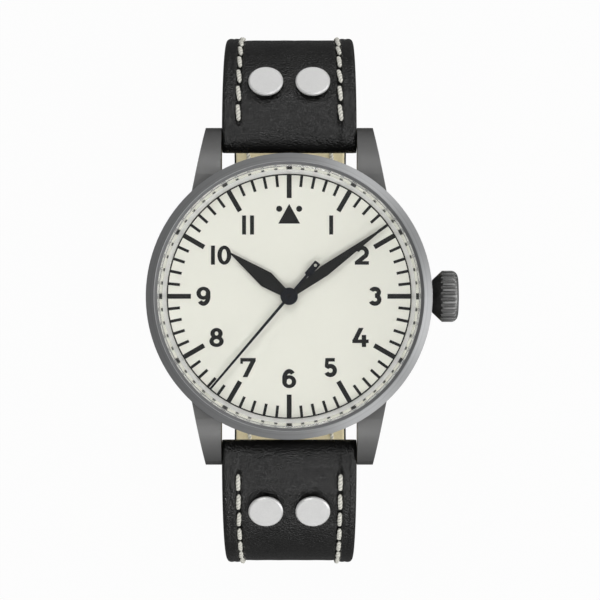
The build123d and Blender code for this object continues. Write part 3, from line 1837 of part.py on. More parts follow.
def make_crown():
    height = stem_height
    dome_reach, dome_out = dome_middle(crown_rim, crown_outer, crown_dome)
    with BuildPart() as crown:
        with BuildSketch(Plane.XZ):
            with BuildLine():
                Polyline(
                    (crown_dome, height),
                    (crown_thread_end, height),
                    (crown_thread_end, height + crown_thread),
                    (crown_bore_end, height + crown_thread),
                    (crown_bore_end, height + crown_bore),
                    (crown_face, height + crown_bore),
                    (crown_face, height + crown_neck),
                    (crown_cone_end, height + crown_radius),
                    (crown_side_end, height + crown_radius),
                )
                EllipticalCenterArc(
                    (crown_side_end, height + crown_rim), crown_bevel, crown_radius - crown_rim, arc_size=90
                )
                ThreePointArc(
                    (crown_outer, height + crown_rim),
                    (dome_out, height + dome_reach),
                    (crown_dome, height),
                )
            make_face()
        revolve(axis=stem_axis)
        with BuildSketch(Plane.YZ.offset(crown_face)):
            with Locations((0, height)):
                with PolarLocations(crown_radius, crown_flutes):
                    Circle(crown_flute_radius)
        extrude(amount=crown_dome - crown_face, mode=Mode.SUBTRACT)
    return crown


def make_crown_gasket():
    with BuildPart() as crown_gasket:
        with Locations(Location((crown_gasket_x, 0, stem_height), (0, 90, 0))):
            Torus(crown_gasket_radius, crown_gasket_cord)
    return crown_gasket


def make_setting_lever():
    pin = (lever_pin_x, 0)
    with BuildPart() as setting_lever:
        add(bar_between((lever_x, lever_y), pin, lever_width / 2, lever_low, lever_high))
        add(disc((lever_x, lever_y), lever_width / 2, lever_low, lever_high))
        add(disc((lever_x, lever_y), lever_pivot_hole, lever_low, lever_high), mode=Mode.SUBTRACT)
        add(disc(pin, lever_pin_radius, lever_pin_low, lever_low))
    return setting_lever


def make_yoke():
    pin = (yoke_x, 0)
    with BuildPart() as yoke:
        add(bar_between((yoke_x, yoke_y), pin, yoke_width / 2, lever_low, lever_high))
        add(disc((yoke_x, yoke_y), yoke_width / 2, lever_low, lever_high))
        add(disc((yoke_x, yoke_y), lever_pivot_hole, lever_low, lever_high), mode=Mode.SUBTRACT)
        add(disc(pin, lever_pin_radius, yoke_pin_low, lever_low))
    return yoke


def band_radii(upper, flat_y, side_offset, start_offset, flat_offset):
    """Radii of the upper and lower quarter arcs of a curve beside the strap's centreline."""
    lower = bar_y + upper - flat_y
    low_height = bar_z - upper - flat_z
    return (upper + side_offset, upper + start_offset), (lower + side_offset, low_height + flat_offset)


def inner_radii(upper, flat_y, trim=0):
    return band_radii(upper, flat_y, trim - strap_half_side, trim - lug_half, trim - strap_half_flat)


def outer_radii(upper, flat_y):
    return band_radii(upper, flat_y, strap_half_side, lug_half, strap_half_flat)


def strap_band(upper, flat_y, inner, outer):
    """Side view of one strap half, on the +Y side, between two curves."""
    middle_z = bar_z - upper
    with BuildSketch() as section:
        with BuildLine():
            for (upper_y, upper_z), (lower_y, lower_z) in (inner, outer):
                EllipticalCenterArc((bar_y, middle_z), upper_y, upper_z, 0, arc_size=90)
                EllipticalCenterArc((flat_y, middle_z), lower_y, lower_z, 270, arc_size=90)
            Line((bar_y, middle_z + outer[0][1]), (bar_y, middle_z + inner[0][1]))
            Line((flat_y, middle_z - outer[1][1]), (flat_y, middle_z - inner[1][1]))
        make_face()
    return section.sketch


def taper():
    """The plan width of the strap: wide at the lugs, narrower below."""
    top = bar_z + lug_half + past
    low = flat_z - tail_shift - lug_half
    with BuildPart() as body:
        with BuildSketch(Plane.XZ.offset(-2 * bar_y)):
            Polygon(
                (-strap_half_top, top), (strap_half_top, top),
                (strap_half_low, low), (-strap_half_low, low),
                align=None,
            )
        extrude(amount=4 * bar_y)
    return body.part


def rivet_place(upper):
    """Place, outward direction and leather thickness at a rivet on the +Y side, seen from the side."""
    (wide, tall), lower = outer_radii(upper, 0)
    angle = asin(rivet_reach / wide)
    (inner_wide, inner_tall), lower = inner_radii(upper, 0)
    y = wide * sin(angle)
    z = tall * cos(angle)
    size = hypot(y / wide / wide, z / tall / tall)
    out_y = y / wide / wide / size
    out_z = z / tall / tall / size
    square = (out_y / inner_wide) ** 2 + (out_z / inner_tall) ** 2
    cross = y * out_y / inner_wide**2 + z * out_z / inner_tall**2
    rest = (y / inner_wide) ** 2 + (z / inner_tall) ** 2 - 1
    depth = (cross - sqrt(cross * cross - square * rest)) / square
    return bar_y + y, bar_z - upper + z, out_y, out_z, depth


def rivet_planes():
    """A plane on the leather at each rivet and the leather's thickness there."""
    planes = []
    for side, upper in ((1, upper_short), (-1, upper_long)):
        y, z, out_y, out_z, depth = rivet_place(upper)
        for x in (-rivet_x, rivet_x):
            plane = Plane(origin=(x, side * y, z), x_dir=(1, 0, 0), z_dir=(0, side * out_y, out_z))
            planes.append((plane, depth))
    return planes


def rivet_holes():
    holes = []
    for plane, depth in rivet_planes():
        with BuildPart() as hole:
            with BuildSketch(plane.offset(-2 * depth)):
                Circle(rivet_hole)
            extrude(amount=2 * depth + past)
        holes.append(hole.part)
    return holes


def make_strap_rivets():
    with BuildPart() as strap_rivets:
        for plane, depth in rivet_planes():
            washer_top = -depth - rivet_washer_lift
            with BuildSketch(plane.offset(rivet_lift)):
                Circle(rivet_head)
            extrude(amount=rivet_height - rivet_bevel)
            with BuildSketch(plane.offset(rivet_lift + rivet_height - rivet_bevel)):
                Circle(rivet_head)
            extrude(amount=rivet_bevel, taper=45)
            with BuildSketch(plane.offset(washer_top)):
                Circle(rivet_shank)
            extrude(amount=rivet_lift - washer_top)
            with BuildSketch(plane.offset(washer_top - rivet_washer_height)):
                Circle(rivet_washer)
            extrude(amount=rivet_washer_height)
    return strap_rivets


def cross_hole(y, z, radius):
    """A hole across the whole strap, cut into the current part."""
    add(rod(-2 * strap_half_top, 2 * strap_half_top, radius, y, z), mode=Mode.SUBTRACT)


def lower_run(start, end, offset, width):
    """A flat stretch of the short strap's lower end in the side view."""
    with Locations(((start + end) / 2, flat_z + offset)):
        Rectangle(end - start, width)


def short_lining_plan(thickness):
    inner = inner_radii(upper_short, short_flat_y)
    outer = inner_radii(upper_short, short_flat_y, thickness)
    with BuildSketch() as plan:
        add(strap_band(upper_short, short_flat_y, inner, outer))
        lower_run(lining_end_y, short_flat_y, strap_half_flat - thickness / 2, thickness)
    return plan.sketch


def make_strap_short_top():
    inner = inner_radii(upper_short, short_flat_y)
    outer = outer_radii(upper_short, short_flat_y)
    full = strap_band(upper_short, short_flat_y, inner, outer)
    with BuildPart() as strap_short_top:
        with BuildSketch(Plane.YZ.offset(-strap_half_top)):
            add(full)
            with Locations((bar_y, bar_z)):
                Circle(lug_half)
            lower_run(0, short_flat_y, 0, 2 * strap_half_flat)
            with Locations((0, flat_z)):
                Circle(strap_half_flat)
            add(short_lining_plan(lining_thickness + lining_gap), mode=Mode.SUBTRACT)
        extrude(amount=2 * strap_half_top)
        add(taper(), mode=Mode.INTERSECT)
        cross_hole(bar_y, bar_z, bar_hole)
        cross_hole(0, flat_z, buckle_bar_hole)
        slot = slab(
            -tongue_slot_half, tongue_slot_half, -tongue_slot_front, tongue_slot_back,
            flat_z - 2 * strap_half_flat, flat_z + 2 * strap_half_flat,
        )
        add(slot, mode=Mode.SUBTRACT)
        for hole in rivet_holes()[:2]:
            add(hole, mode=Mode.SUBTRACT)
    return strap_short_top


def make_strap_short_lining():
    with BuildPart() as strap_short_lining:
        with BuildSketch(Plane.YZ.offset(-strap_half_top)):
            add(short_lining_plan(lining_thickness))
        extrude(amount=2 * strap_half_top)
        add(taper(), mode=Mode.INTERSECT)
        for hole in rivet_holes()[:2]:
            add(hole, mode=Mode.SUBTRACT)
    return strap_short_lining


def long_path(offset):
    """Side view of the long strap's lower run, moved towards the wrist by an offset."""
    tail_radius = bar_y + upper_short - short_flat_y + tail_shift
    with BuildLine() as path:
        start = Line((long_flat_y, flat_z + offset), (long_bend_y, flat_z + offset))
        out = JernArc(start @ 1, start % 1, bend_radius + offset, -bend_angle)
        back = JernArc(out @ 1, out % 1, bend_radius - offset, bend_angle)
        flat = Line(back @ 1, (short_flat_y, flat_z - tail_shift + offset))
        JernArc(flat @ 1, flat % 1, tail_radius - offset, tail_angle)
    return path.wire()


def long_lining_plan(thickness):
    flat_y = -long_flat_y
    inner = inner_radii(upper_long, flat_y)
    outer = inner_radii(upper_long, flat_y, thickness)
    with BuildSketch() as plan:
        add(strap_band(upper_long, flat_y, inner, outer).mirror(Plane.YZ))
        trace(long_path(strap_half_flat - thickness / 2), line_width=thickness)
    return plan.sketch


def cut_long_holes():
    """The tongue slot, the other adjusting holes and the pointed tail, cut into the current part."""
    path = long_path(0)
    slot_at = tongue_hole_y - long_flat_y
    for number in range(-1, adjust_holes - 1):
        at = slot_at + number * adjust_pitch
        place = path.position_at(at, position_mode=PositionMode.LENGTH)
        along = path.tangent_at(at, position_mode=PositionMode.LENGTH)
        face = Plane(origin=(0, place.X, place.Y), x_dir=(1, 0, 0), z_dir=(0, -along.Y, along.X))
        with BuildPart() as hole:
            with BuildSketch(face.offset(-2 * strap_half_flat)):
                if number:
                    Circle(adjust_radius)
                else:
                    SlotOverall(tongue_hole_length, 2 * adjust_radius, rotation=90)
            extrude(amount=4 * strap_half_flat)
        add(hole.part, mode=Mode.SUBTRACT)
    end = path @ 1
    along = path % 1
    face = Plane(origin=(0, end.X, end.Y), x_dir=(1, 0, 0), z_dir=(0, -along.Y, along.X))
    with BuildPart() as corners:
        with BuildSketch(face.offset(-2 * tail_point)):
            for side in (1, -1):
                Polygon(
                    (side * tail_end_half, past),
                    (side * 2 * strap_half_top, past),
                    (side * 2 * strap_half_top, -tail_point),
                    (side * strap_half_low, -tail_point),
                    (side * tail_end_half, 0),
                    align=None,
                )
        extrude(amount=4 * tail_point)
    add(corners.part, mode=Mode.SUBTRACT)


def make_strap_long_top():
    flat_y = -long_flat_y
    inner = inner_radii(upper_long, flat_y)
    outer = outer_radii(upper_long, flat_y)
    full = strap_band(upper_long, flat_y, inner, outer)
    with BuildPart() as strap_long_top:
        with BuildSketch(Plane.YZ.offset(-strap_half_top)):
            add(full.mirror(Plane.YZ))
            with Locations((-bar_y, bar_z)):
                Circle(lug_half)
            trace(long_path(0), line_width=2 * strap_half_flat)
            add(long_lining_plan(lining_thickness + lining_gap), mode=Mode.SUBTRACT)
        extrude(amount=2 * strap_half_top)
        add(taper(), mode=Mode.INTERSECT)
        cross_hole(-bar_y, bar_z, bar_hole)
        cut_long_holes()
        for hole in rivet_holes()[2:]:
            add(hole, mode=Mode.SUBTRACT)
    return strap_long_top


def make_strap_long_lining():
    with BuildPart() as strap_long_lining:
        with BuildSketch(Plane.YZ.offset(-strap_half_top)):
            add(long_lining_plan(lining_thickness))
        extrude(amount=2 * strap_half_top)
        add(taper(), mode=Mode.INTERSECT)
        cut_long_holes()
        for hole in rivet_holes()[2:]:
            add(hole, mode=Mode.SUBTRACT)
    return strap_long_lining


def make_spring_bars():
    with BuildPart() as spring_bars:
        for y in (bar_y, -bar_y):
            add(rod(-bar_half, bar_half, bar_radius, y, bar_z))
            add(rod(bar_half - bar_bore_depth, bar_half, bar_bore, y, bar_z), mode=Mode.SUBTRACT)
            add(rod(-bar_half, bar_bore_depth - bar_half, bar_bore, y, bar_z), mode=Mode.SUBTRACT)
        add(rod(-keeper_inner, keeper_inner, buckle_bar_radius, 0, flat_z))
        add(rod(-tip_outer, tip_outer, tip_radius, 0, flat_z))
    return spring_bars


def make_bar_tip(side, end):
    with BuildPart() as bar_tip:
        rods = (
            rod(tip_inner, tip_outer, tip_radius, end * bar_y, bar_z),
            rod(tip_flange_inner, tip_flange_outer, tip_flange_radius, end * bar_y, bar_z),
        )
        for piece in rods:
            add(piece if side > 0 else piece.mirror(Plane.YZ))
    return bar_tip


def make_buckle_frame():
    deep = buckle_back_y - buckle_front_y
    tall = buckle_cross_top - buckle_cross_low
    middle = (buckle_front_y + deep / 2, buckle_cross_low + tall / 2)
    with BuildPart() as buckle_frame:
        for start in (-buckle_outer, buckle_inner):
            with BuildSketch(Plane.YZ.offset(start)):
                with Locations((0, flat_z)):
                    Circle(buckle_eye)
                with Locations(middle):
                    RectangleRounded(deep, tall, buckle_round)
                make_hull()
            extrude(amount=buckle_outer - buckle_inner)
        with BuildSketch(Plane.YZ.offset(-buckle_outer)):
            with Locations(middle):
                RectangleRounded(deep, tall, buckle_round)
        extrude(amount=2 * buckle_outer)
        add(rod(-2 * buckle_outer, 2 * buckle_outer, lug_hole, 0, flat_z), mode=Mode.SUBTRACT)
        half = tongue_half + tongue_groove_gap
        low = buckle_cross_low - past
        groove = slab(-half, half, buckle_front_y, buckle_back_y, low, tongue_groove_z)
        add(groove, mode=Mode.SUBTRACT)
    return buckle_frame


def make_buckle_tongue():
    with BuildPart() as buckle_tongue:
        with BuildSketch(Plane.YZ.offset(-tongue_half)):
            with BuildLine() as path:
                knee = (tongue_knee_y, tongue_knee_z)
                Polyline((0, flat_z - tongue_drop), knee, (tongue_end_y, tongue_knee_z))
            trace(path.line, line_width=tongue_thickness)
            with Locations((0, flat_z)):
                Circle(tongue_loop)
                Circle(buckle_bar_radius + square_clearance, mode=Mode.SUBTRACT)
        extrude(amount=2 * tongue_half)
    return buckle_tongue


def keeper(y):
    """A leather loop round both strap halves."""
    low = flat_z - tail_shift - strap_half_flat - keeper_gap - keeper_wall
    high = flat_z + strap_half_flat + keeper_top_gap + keeper_wall
    with BuildPart() as loop:
        with BuildSketch(Plane.XZ.offset(-y - keeper_width / 2)):
            with Locations((0, (low + high) / 2)):
                Rectangle(2 * (keeper_inner + keeper_wall), high - low)
                Rectangle(2 * keeper_inner, high - low - 2 * keeper_wall, mode=Mode.SUBTRACT)
        extrude(amount=keeper_width)
    return loop


centre_turn = 0
third_turn = 0
fourth_turn = 0
barrel_turn = 0
ratchet_turn = 0
minute_pinion_turn = 0
to_crown_wheel = degrees(atan2(-barrel_y, crown_wheel_x - barrel_x))
centre_pinion_turn = mesh_turn(barrel_turn, barrel_teeth, centre_pinion_leaves, barrel_angle + 180)
third_pinion_turn = mesh_turn(centre_turn, centre_teeth, third_leaves, third_angle)
fourth_pinion_turn = mesh_turn(third_turn, third_teeth, fourth_leaves, third_angle + 180)
escape_pinion_turn = mesh_turn(fourth_turn, fourth_teeth, escape_leaves, escape_angle)
crown_wheel_turn = mesh_turn(ratchet_turn, ratchet_teeth, crown_wheel_teeth, to_crown_wheel)
minute_turn = mesh_turn(0, cannon_leaves, minute_teeth, 0)
hour_turn = mesh_turn(minute_pinion_turn, minute_leaves, hour_teeth, 180)
setting_turn = mesh_turn(minute_turn, minute_teeth, setting_teeth, 0)

pieces = {
    "case_middle": make_case_middle,
    "case_back": make_case_back,
    "back_crystal": make_back_crystal,
    "back_gasket": make_back_gasket,
    "bezel": make_bezel,
    "crystal": make_crystal,
    "crystal_gasket": make_crystal_gasket,
    "inner_flange": make_inner_flange,
    "crown_tube": make_crown_tube,
    "movement_ring": make_movement_ring,
    "movement_screws": make_movement_screws,
    "dial": make_dial,
    "dial_print": make_dial_print,
    "hour_hand": make_hour_hand,
    "minute_hand": make_minute_hand,
    "seconds_hand": make_seconds_hand,
    "main_plate": make_main_plate,
    "barrel_bridge": make_barrel_bridge,
    "train_bridge": make_train_bridge,
    "balance_bridge": make_balance_bridge,
    "pallet_cock": make_pallet_cock,
    "bearing_jewels": make_bearing_jewels,
    "barrel": make_barrel,
    "mainspring": make_mainspring,
    "barrel_arbor": make_barrel_arbor,
    "ratchet_wheel": make_ratchet_wheel,
    "crown_wheel": make_crown_wheel,
    "click": make_click,
    "centre_wheel": make_centre_wheel,
    "third_wheel": make_third_wheel,
    "fourth_wheel": make_fourth_wheel,
    "escape_wheel": make_escape_wheel,
    "pallet_fork": make_pallet_fork,
    "balance_wheel": make_balance_wheel,
    "hairspring": make_hairspring,
    "cannon_pinion": make_cannon_pinion,
    "hour_wheel": make_hour_wheel,
    "minute_wheel": make_minute_wheel,
    "setting_wheel": make_setting_wheel,
    "winding_pinion": make_winding_pinion,
    "sliding_pinion": make_sliding_pinion,
    "winding_stem": make_winding_stem,
    "crown": make_crown,
    "crown_gasket": make_crown_gasket,
    "setting_lever": make_setting_lever,
    "yoke": make_yoke,
    "strap_short_top": make_strap_short_top,
    "strap_short_lining": make_strap_short_lining,
    "strap_long_top": make_strap_long_top,
    "strap_long_lining": make_strap_long_lining,
    "strap_rivets": make_strap_rivets,
    "spring_bars": make_spring_bars,
    "buckle_frame": make_buckle_frame,
    "buckle_tongue": make_buckle_tongue,
}
for name, make in pieces.items():
    save(make(), name)
for name, y in (("fixed_keeper", fixed_keeper_y), ("free_keeper", free_keeper_y)):
    save(keeper(y), name)
for side, hand in ((1, "right"), (-1, "left")):
    for end, place in ((1, "upper"), (-1, "lower")):
        save(make_bar_tip(side, end), f"bar_tip_{place}_{hand}")
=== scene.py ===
"""A hand-wound pilot wristwatch on its closed leather strap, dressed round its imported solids."""

import math
from typing import NamedTuple

import bpy
import numpy as np
from bpy.props import FloatProperty, FloatVectorProperty, PointerProperty
from bpy.types import Operator, Panel, PropertyGroup
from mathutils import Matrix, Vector


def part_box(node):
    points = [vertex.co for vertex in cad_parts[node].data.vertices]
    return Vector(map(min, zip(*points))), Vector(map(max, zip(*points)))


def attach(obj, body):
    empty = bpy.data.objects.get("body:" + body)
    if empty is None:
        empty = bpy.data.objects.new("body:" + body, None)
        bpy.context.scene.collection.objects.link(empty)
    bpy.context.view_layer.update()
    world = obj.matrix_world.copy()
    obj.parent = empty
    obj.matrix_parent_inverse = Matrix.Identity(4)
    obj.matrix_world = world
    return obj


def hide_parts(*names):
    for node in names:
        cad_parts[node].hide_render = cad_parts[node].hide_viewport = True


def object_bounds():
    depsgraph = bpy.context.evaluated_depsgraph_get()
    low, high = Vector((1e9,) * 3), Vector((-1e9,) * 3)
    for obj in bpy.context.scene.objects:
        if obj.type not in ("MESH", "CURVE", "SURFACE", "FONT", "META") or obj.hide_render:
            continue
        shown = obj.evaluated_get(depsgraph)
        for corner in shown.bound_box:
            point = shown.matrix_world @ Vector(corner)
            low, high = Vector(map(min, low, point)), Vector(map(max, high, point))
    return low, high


bl_info = {
    "name": "Pilot Watch",
    "version": (1, 0, 0),
    "blender": (4, 5, 0),
    "location": "3D View > Sidebar > Watch",
    "description": "Leather, thread, metal, dial and glass of a pilot wristwatch",
    "category": "Object",
}

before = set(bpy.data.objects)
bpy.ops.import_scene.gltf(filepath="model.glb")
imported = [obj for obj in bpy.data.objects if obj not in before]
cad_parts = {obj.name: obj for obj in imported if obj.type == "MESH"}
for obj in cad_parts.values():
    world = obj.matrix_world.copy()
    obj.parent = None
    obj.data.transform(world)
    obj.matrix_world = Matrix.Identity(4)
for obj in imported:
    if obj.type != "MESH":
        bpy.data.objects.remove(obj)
cad_low, cad_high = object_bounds()

MM = 0.001
MICRON = 0.000001
ACROSS, ALONG, UP = np.eye(3)

# Strap lines in millimetres: y along the strap, z up, as the solids have them
BAR_Y = 23.4
BAR_Z = 3.0
FLAT_Z = -35.5
NOSE_RADIUS = 2.1
NOSE_TURN = math.radians(86)
NOSE_STEPS = 14
CORNER = 0.45
SIDE_HALF = 1.3
FLAT_HALF = 1.1
LINING = 0.8
LINING_GAP = 0.04
LINING_INSET = 0.34
LINING_EDGE = 0.3
LINING_SEAM = 2.3
SHORT_UPPER = 15.0
SHORT_FLAT_Y = 14.9
SHORT_CURVE = 26
LONG_UPPER = 16.3
LONG_FLAT_Y = 17.5
LONG_CURVE = 27
LINING_END_Y = 3.0
BEND_START_Y = -11.5
BEND_RADIUS = 13.07
BEND_TURN = math.radians(25)
TAIL_TURN = math.radians(48)
TAIL_SHIFT = 2 * BEND_RADIUS * (1 - math.cos(BEND_TURN))
TAIL_RADIUS = BAR_Y + SHORT_UPPER - SHORT_FLAT_Y + TAIL_SHIFT
TAIL_POINT = 5.0
TAIL_END_HALF = 2.5
HALF_TOP = 10.0
HALF_LOW = 9.0
HALF_TOP_Z = 5.1
HALF_LOW_Z = -38.0
LEATHER_STEP = 0.3
LINING_STEP = 0.4

# Section of the leather from its edge in: steps outside the seam and beside it, and shares of the rest
OUTSIDE_STEPS = np.array([0.16, 0.3, 0.42, 0.52, 0.66, 0.9, 1.2, 1.45])
SEAM_STEPS = np.array([-0.42, -0.28, -0.14, 0.0, 0.14, 0.28, 0.42, 0.6, 0.85, 1.2])
MIDDLE_SHARES = np.array([0.16, 0.34, 0.52, 0.7, 0.86, 1.0])
FULL_INSET = 2.4

# Rivets, holes and seams in millimetres; a seam starts at its first value and stops its second before the end
RIVET_X = 3.5
RIVET_REACH = 8.53
RIVET_HEAD = 2.575
HOLE_RADIUS = 0.9
HOLE_PITCH = 6.0
HOLE_FIRST = 13.9
HOLES = 7
SLOT_LENGTH = 6.0
LUG_BAR_HOLE = 0.95
BUCKLE_BAR_HOLE = 0.55
TONGUE_SLOT_HALF = 1.1
TONGUE_SLOT_FRONT = 1.6
TONGUE_SLOT_BACK = 2.6
CUT_DEPTH = 3.0
CUT_HALF = 12.0
CUT_EDGE = math.radians(40)
SHORT_SEAM = (5.5, 7.0)
LONG_SEAM = (5.9, 3.4)
SHORT_INNER_SEAM = (5.0, 3.0)
LONG_INNER_SEAM = (5.0, 3.4)
OUTER_STITCH_LIFT = -0.02
INNER_STITCH_LIFT = 0.10
LONG_SLANT_SHARE = -0.3
STITCH_SCATTER = math.radians(1.8)

# Keepers in millimetres
KEEPER_INNER = 9.4
KEEPER_WALL = 0.9
KEEPER_WIDTH = 3.4
KEEPER_CORNER = 0.45
KEEPER_EDGE = 0.28
KEEPER_STEP = 0.8
KEEPER_LOW = FLAT_Z - TAIL_SHIFT - FLAT_HALF - 0.15 - KEEPER_WALL
KEEPER_HIGH = FLAT_Z + FLAT_HALF + 0.3 + KEEPER_WALL
FIXED_KEEPER_Y = 5.75
FREE_KEEPER_Y = 11.3

# Places on the metal in millimetres, where a finish changes; the bezel's crest also ends its painted shade, and
# the crown's painted highlights are laid round the stem's height
BEZEL_CREST = 19.74
STEM_Z = 5.2
FLANGE_BAND = (8.2, 8.35)
BLUED_TIP = (7.0, 7.1)

# Camera: straight above the dial, which fills the same part of the picture as in the photograph
CAMERA_X = 1.59
CAMERA_Y = -0.545
CAMERA_Z = 407.3
LENS = 163.0
SENSOR = 36.0

# Stage: the floor's reach in metres and colour, how white the camera sees it and how dimmed mirrors do
FLOOR_REACH = 1.5
FLOOR_COLOUR = (0.62, 0.62, 0.62, 1)
FLOOR_GLOW = 0.96
FLOOR_DIMMING = 0.75

# Room: its level from the lowest to the highest direction, and how much brighter it is to the right
ROOM_LEVELS = ((0.0, 0.62), (0.25, 0.60), (0.50, 0.38), (0.70, 0.38), (0.90, 0.34), (1.0, 0.28))
ROOM_SLOPE = 0.45

# Lamps in metres and watts: name, place, aim, size and power
LAMPS = (
    ("key lamp", (-0.34, 0.22, 0.72), (0, 0, 0), 0.50, 0.62),
    ("fill lamp", (0.38, -0.18, 0.72), (0, 0, 0), 0.50, 0.65),
    ("upper strap lamp", (-0.10, 0.46, 0.60), (0, 0.03, 0), 0.19, 0.74),
    ("lower strap lamp", (-0.10, -0.46, 0.60), (0, -0.03, 0), 0.19, 0.90),
    ("right softbox", (0.62, -0.10, 0.12), (0, 0, 0), 0.45, 0.7),
    ("upper right softbox", (0.34, 0.52, 0.12), (0, 0, 0), 0.40, 0.45),
    ("lower right softbox", (0.34, -0.52, 0.12), (0, 0, 0), 0.40, 0.45),
)


class WatchStrap(PropertyGroup):
    """Sizes of the strap's relief and stitching."""

    stitch_pitch: FloatProperty(
        name="Stitch pitch", description="From one stitch to the next", default=0.0032, unit="LENGTH"
    )
    stitch_length: FloatProperty(
        name="Stitch length", description="Length of thread that shows", default=0.00262, unit="LENGTH"
    )
    thread: FloatProperty(
        name="Thread", description="Thickness of the sewing thread", default=0.00066, unit="LENGTH"
    )
    stitch_inset: FloatProperty(
        name="Stitch inset", description="From the strap's edge to the seam", default=0.0024, unit="LENGTH"
    )
    stitch_slant: FloatProperty(
        name="Stitch slant", description="Turn of each upper stitch from the seam",
        default=math.radians(-6.5), subtype="ANGLE",
    )
    edge_round: FloatProperty(
        name="Edge rounding", description="Radius of the leather's edges", default=0.00062, unit="LENGTH"
    )
    groove: FloatProperty(
        name="Seam depth", description="How far the seam pulls the leather in", default=0.00034, unit="LENGTH"
    )
    hollow: FloatProperty(
        name="Hollow", description="How far the middle lies below the margins outside the seams",
        default=0.00026, unit="LENGTH",
    )
    crease: FloatProperty(
        name="Edge crease", description="Depth of the pressed line beside the edge", default=0.00007, unit="LENGTH"
    )


def colour_property(name, description, value):
    """One of the watch's colours."""
    return FloatVectorProperty(
        name=name, description=description, default=value, size=3, min=0.0, max=1.0, subtype="COLOR"
    )


class WatchColours(PropertyGroup):
    """Colours of the watch's finishes."""

    leather: colour_property("Leather", "Black outer leather", (0.009, 0.009, 0.0085))
    lining: colour_property("Lining", "Tan lining leather", (0.95, 0.84, 0.56))
    thread: colour_property("Thread", "Cream sewing thread", (0.74, 0.73, 0.66))
    case: colour_property("Case", "Blasted steel of the case and crown", (0.19, 0.19, 0.188))
    bezel: colour_property("Bezel", "Turned steel of the bezel", (0.42, 0.425, 0.43))
    dial: colour_property("Dial", "Cream dial paint", (0.80, 0.80, 0.715))
    ink: colour_property("Ink", "Black dial print and hands", (0.004, 0.0045, 0.004))
    brass: colour_property("Brass", "Gilt brass of the wheels", (0.78, 0.57, 0.28))


# Numpy surfaces


def lattice(rows, columns, wrap_rows=False, wrap_columns=False):
    """Quads between neighbouring places of a grid; a wrapped direction also joins its last line to the first."""
    row = np.arange(rows if wrap_rows else rows - 1)[:, None]
    column = np.arange(columns if wrap_columns else columns - 1)[None, :]
    here, ahead, next_column = row * columns, (row + 1) % rows * columns, (column + 1) % columns
    corners = (here + column, here + next_column, ahead + next_column, ahead + column)
    return np.stack(corners, axis=-1).reshape(-1, 4)


def band_quads(rows, columns):
    """Quads of a closed band; in its first and last section each top place is joined to the one under it."""
    place = np.arange(columns // 2 - 1)
    cap = np.stack([place, place + 1, columns - 2 - place, columns - 1 - place], axis=-1)
    walls = lattice(rows, columns, wrap_columns=True)
    return np.concatenate([walls, cap[:, ::-1], cap + (rows - 1) * columns])


def outward(points, quads):
    """The same quads, turned over if the closed surface's signed volume is below zero."""
    a, b, c, d = (points[quads[:, corner]] for corner in range(4))
    volume = np.einsum("ij,ij->i", a, np.cross(b, c)).sum() + np.einsum("ij,ij->i", a, np.cross(c, d)).sum()
    return quads if volume > 0 else quads[:, ::-1]


def make_mesh(name, points, quads, seam_map=None):
    """A smooth mesh from places in millimetres, faces outward; seam_map gives each vertex its UV place."""
    quads = outward(points, quads)
    mesh = bpy.data.meshes.new(name)
    mesh.vertices.add(len(points))
    mesh.vertices.foreach_set("co", (points * MM).astype(np.float32).ravel())
    mesh.loops.add(quads.size)
    mesh.loops.foreach_set("vertex_index", quads.astype(np.int32).ravel())
    mesh.polygons.add(len(quads))
    mesh.polygons.foreach_set("loop_start", np.arange(0, quads.size, 4, dtype=np.int32))
    mesh.polygons.foreach_set("use_smooth", np.ones(len(quads), dtype=bool))
    mesh.update(calc_edges=True)
    if seam_map is not None:
        layer = mesh.uv_layers.new(name="UVMap")
        layer.data.foreach_set("uv", seam_map[quads.ravel()].astype(np.float32).ravel())
    return mesh


def add_piece(mesh, body, material, nodes=()):
    """Puts a finished mesh into the scene on a body, in the place of the named solids."""
    mesh.materials.append(material)
    piece = bpy.data.objects.new(mesh.name, mesh)
    bpy.context.scene.collection.objects.link(piece)
    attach(piece, body)
    if nodes:
        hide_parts(*nodes)
    return piece


def cut_away(piece, cutters):
    """Takes the closed cutter meshes out of a piece and marks the new edges sharp."""
    parts = [bpy.data.objects.new("cutter", mesh) for mesh in cutters]
    hold = bpy.data.collections.new("cutters")
    bpy.context.scene.collection.children.link(hold)
    for part in parts:
        hold.objects.link(part)
    cut = piece.modifiers.new("cut", "BOOLEAN")
    cut.operation = "DIFFERENCE"
    cut.solver = "EXACT"
    cut.operand_type = "COLLECTION"
    cut.collection = hold
    whole = piece.evaluated_get(bpy.context.evaluated_depsgraph_get())
    mesh = bpy.data.meshes.new_from_object(whole)
    if len(mesh.vertices) <= len(piece.data.vertices) // 2:
        raise RuntimeError(f"{piece.name}: the cut took most of the piece away")
    piece.modifiers.clear()
    old = piece.data
    name = old.name
    piece.data = mesh
    bpy.data.meshes.remove(old)
    mesh.name = name
    for part in parts:
        bpy.data.objects.remove(part)
    bpy.data.collections.remove(hold)
    mesh.set_sharp_from_angle(angle=CUT_EDGE)


def prism(outline, origin, across, along, normal, reach):
    """A closed prism. An outline place (a, b) lies at origin + a·across + b·along, and the wall runs reach
    both ways along normal."""
    sides = len(outline)
    ring = origin + outline[:, :1] * across + outline[:, 1:] * along
    points = np.concatenate([ring - reach * normal, ring + reach * normal])
    walls = lattice(2, sides, wrap_columns=True)
    faces = walls.tolist() + [list(range(sides))[::-1], list(range(sides, 2 * sides))]
    mesh = bpy.data.meshes.new("cutter")
    mesh.from_pydata((points * MM).tolist(), [], faces)
    a = points[walls] - origin
    if np.einsum("ij,ij->i", a[:, 0], np.cross(a[:, 1], a[:, 2])).sum() < 0:
        mesh.flip_normals()
    return mesh


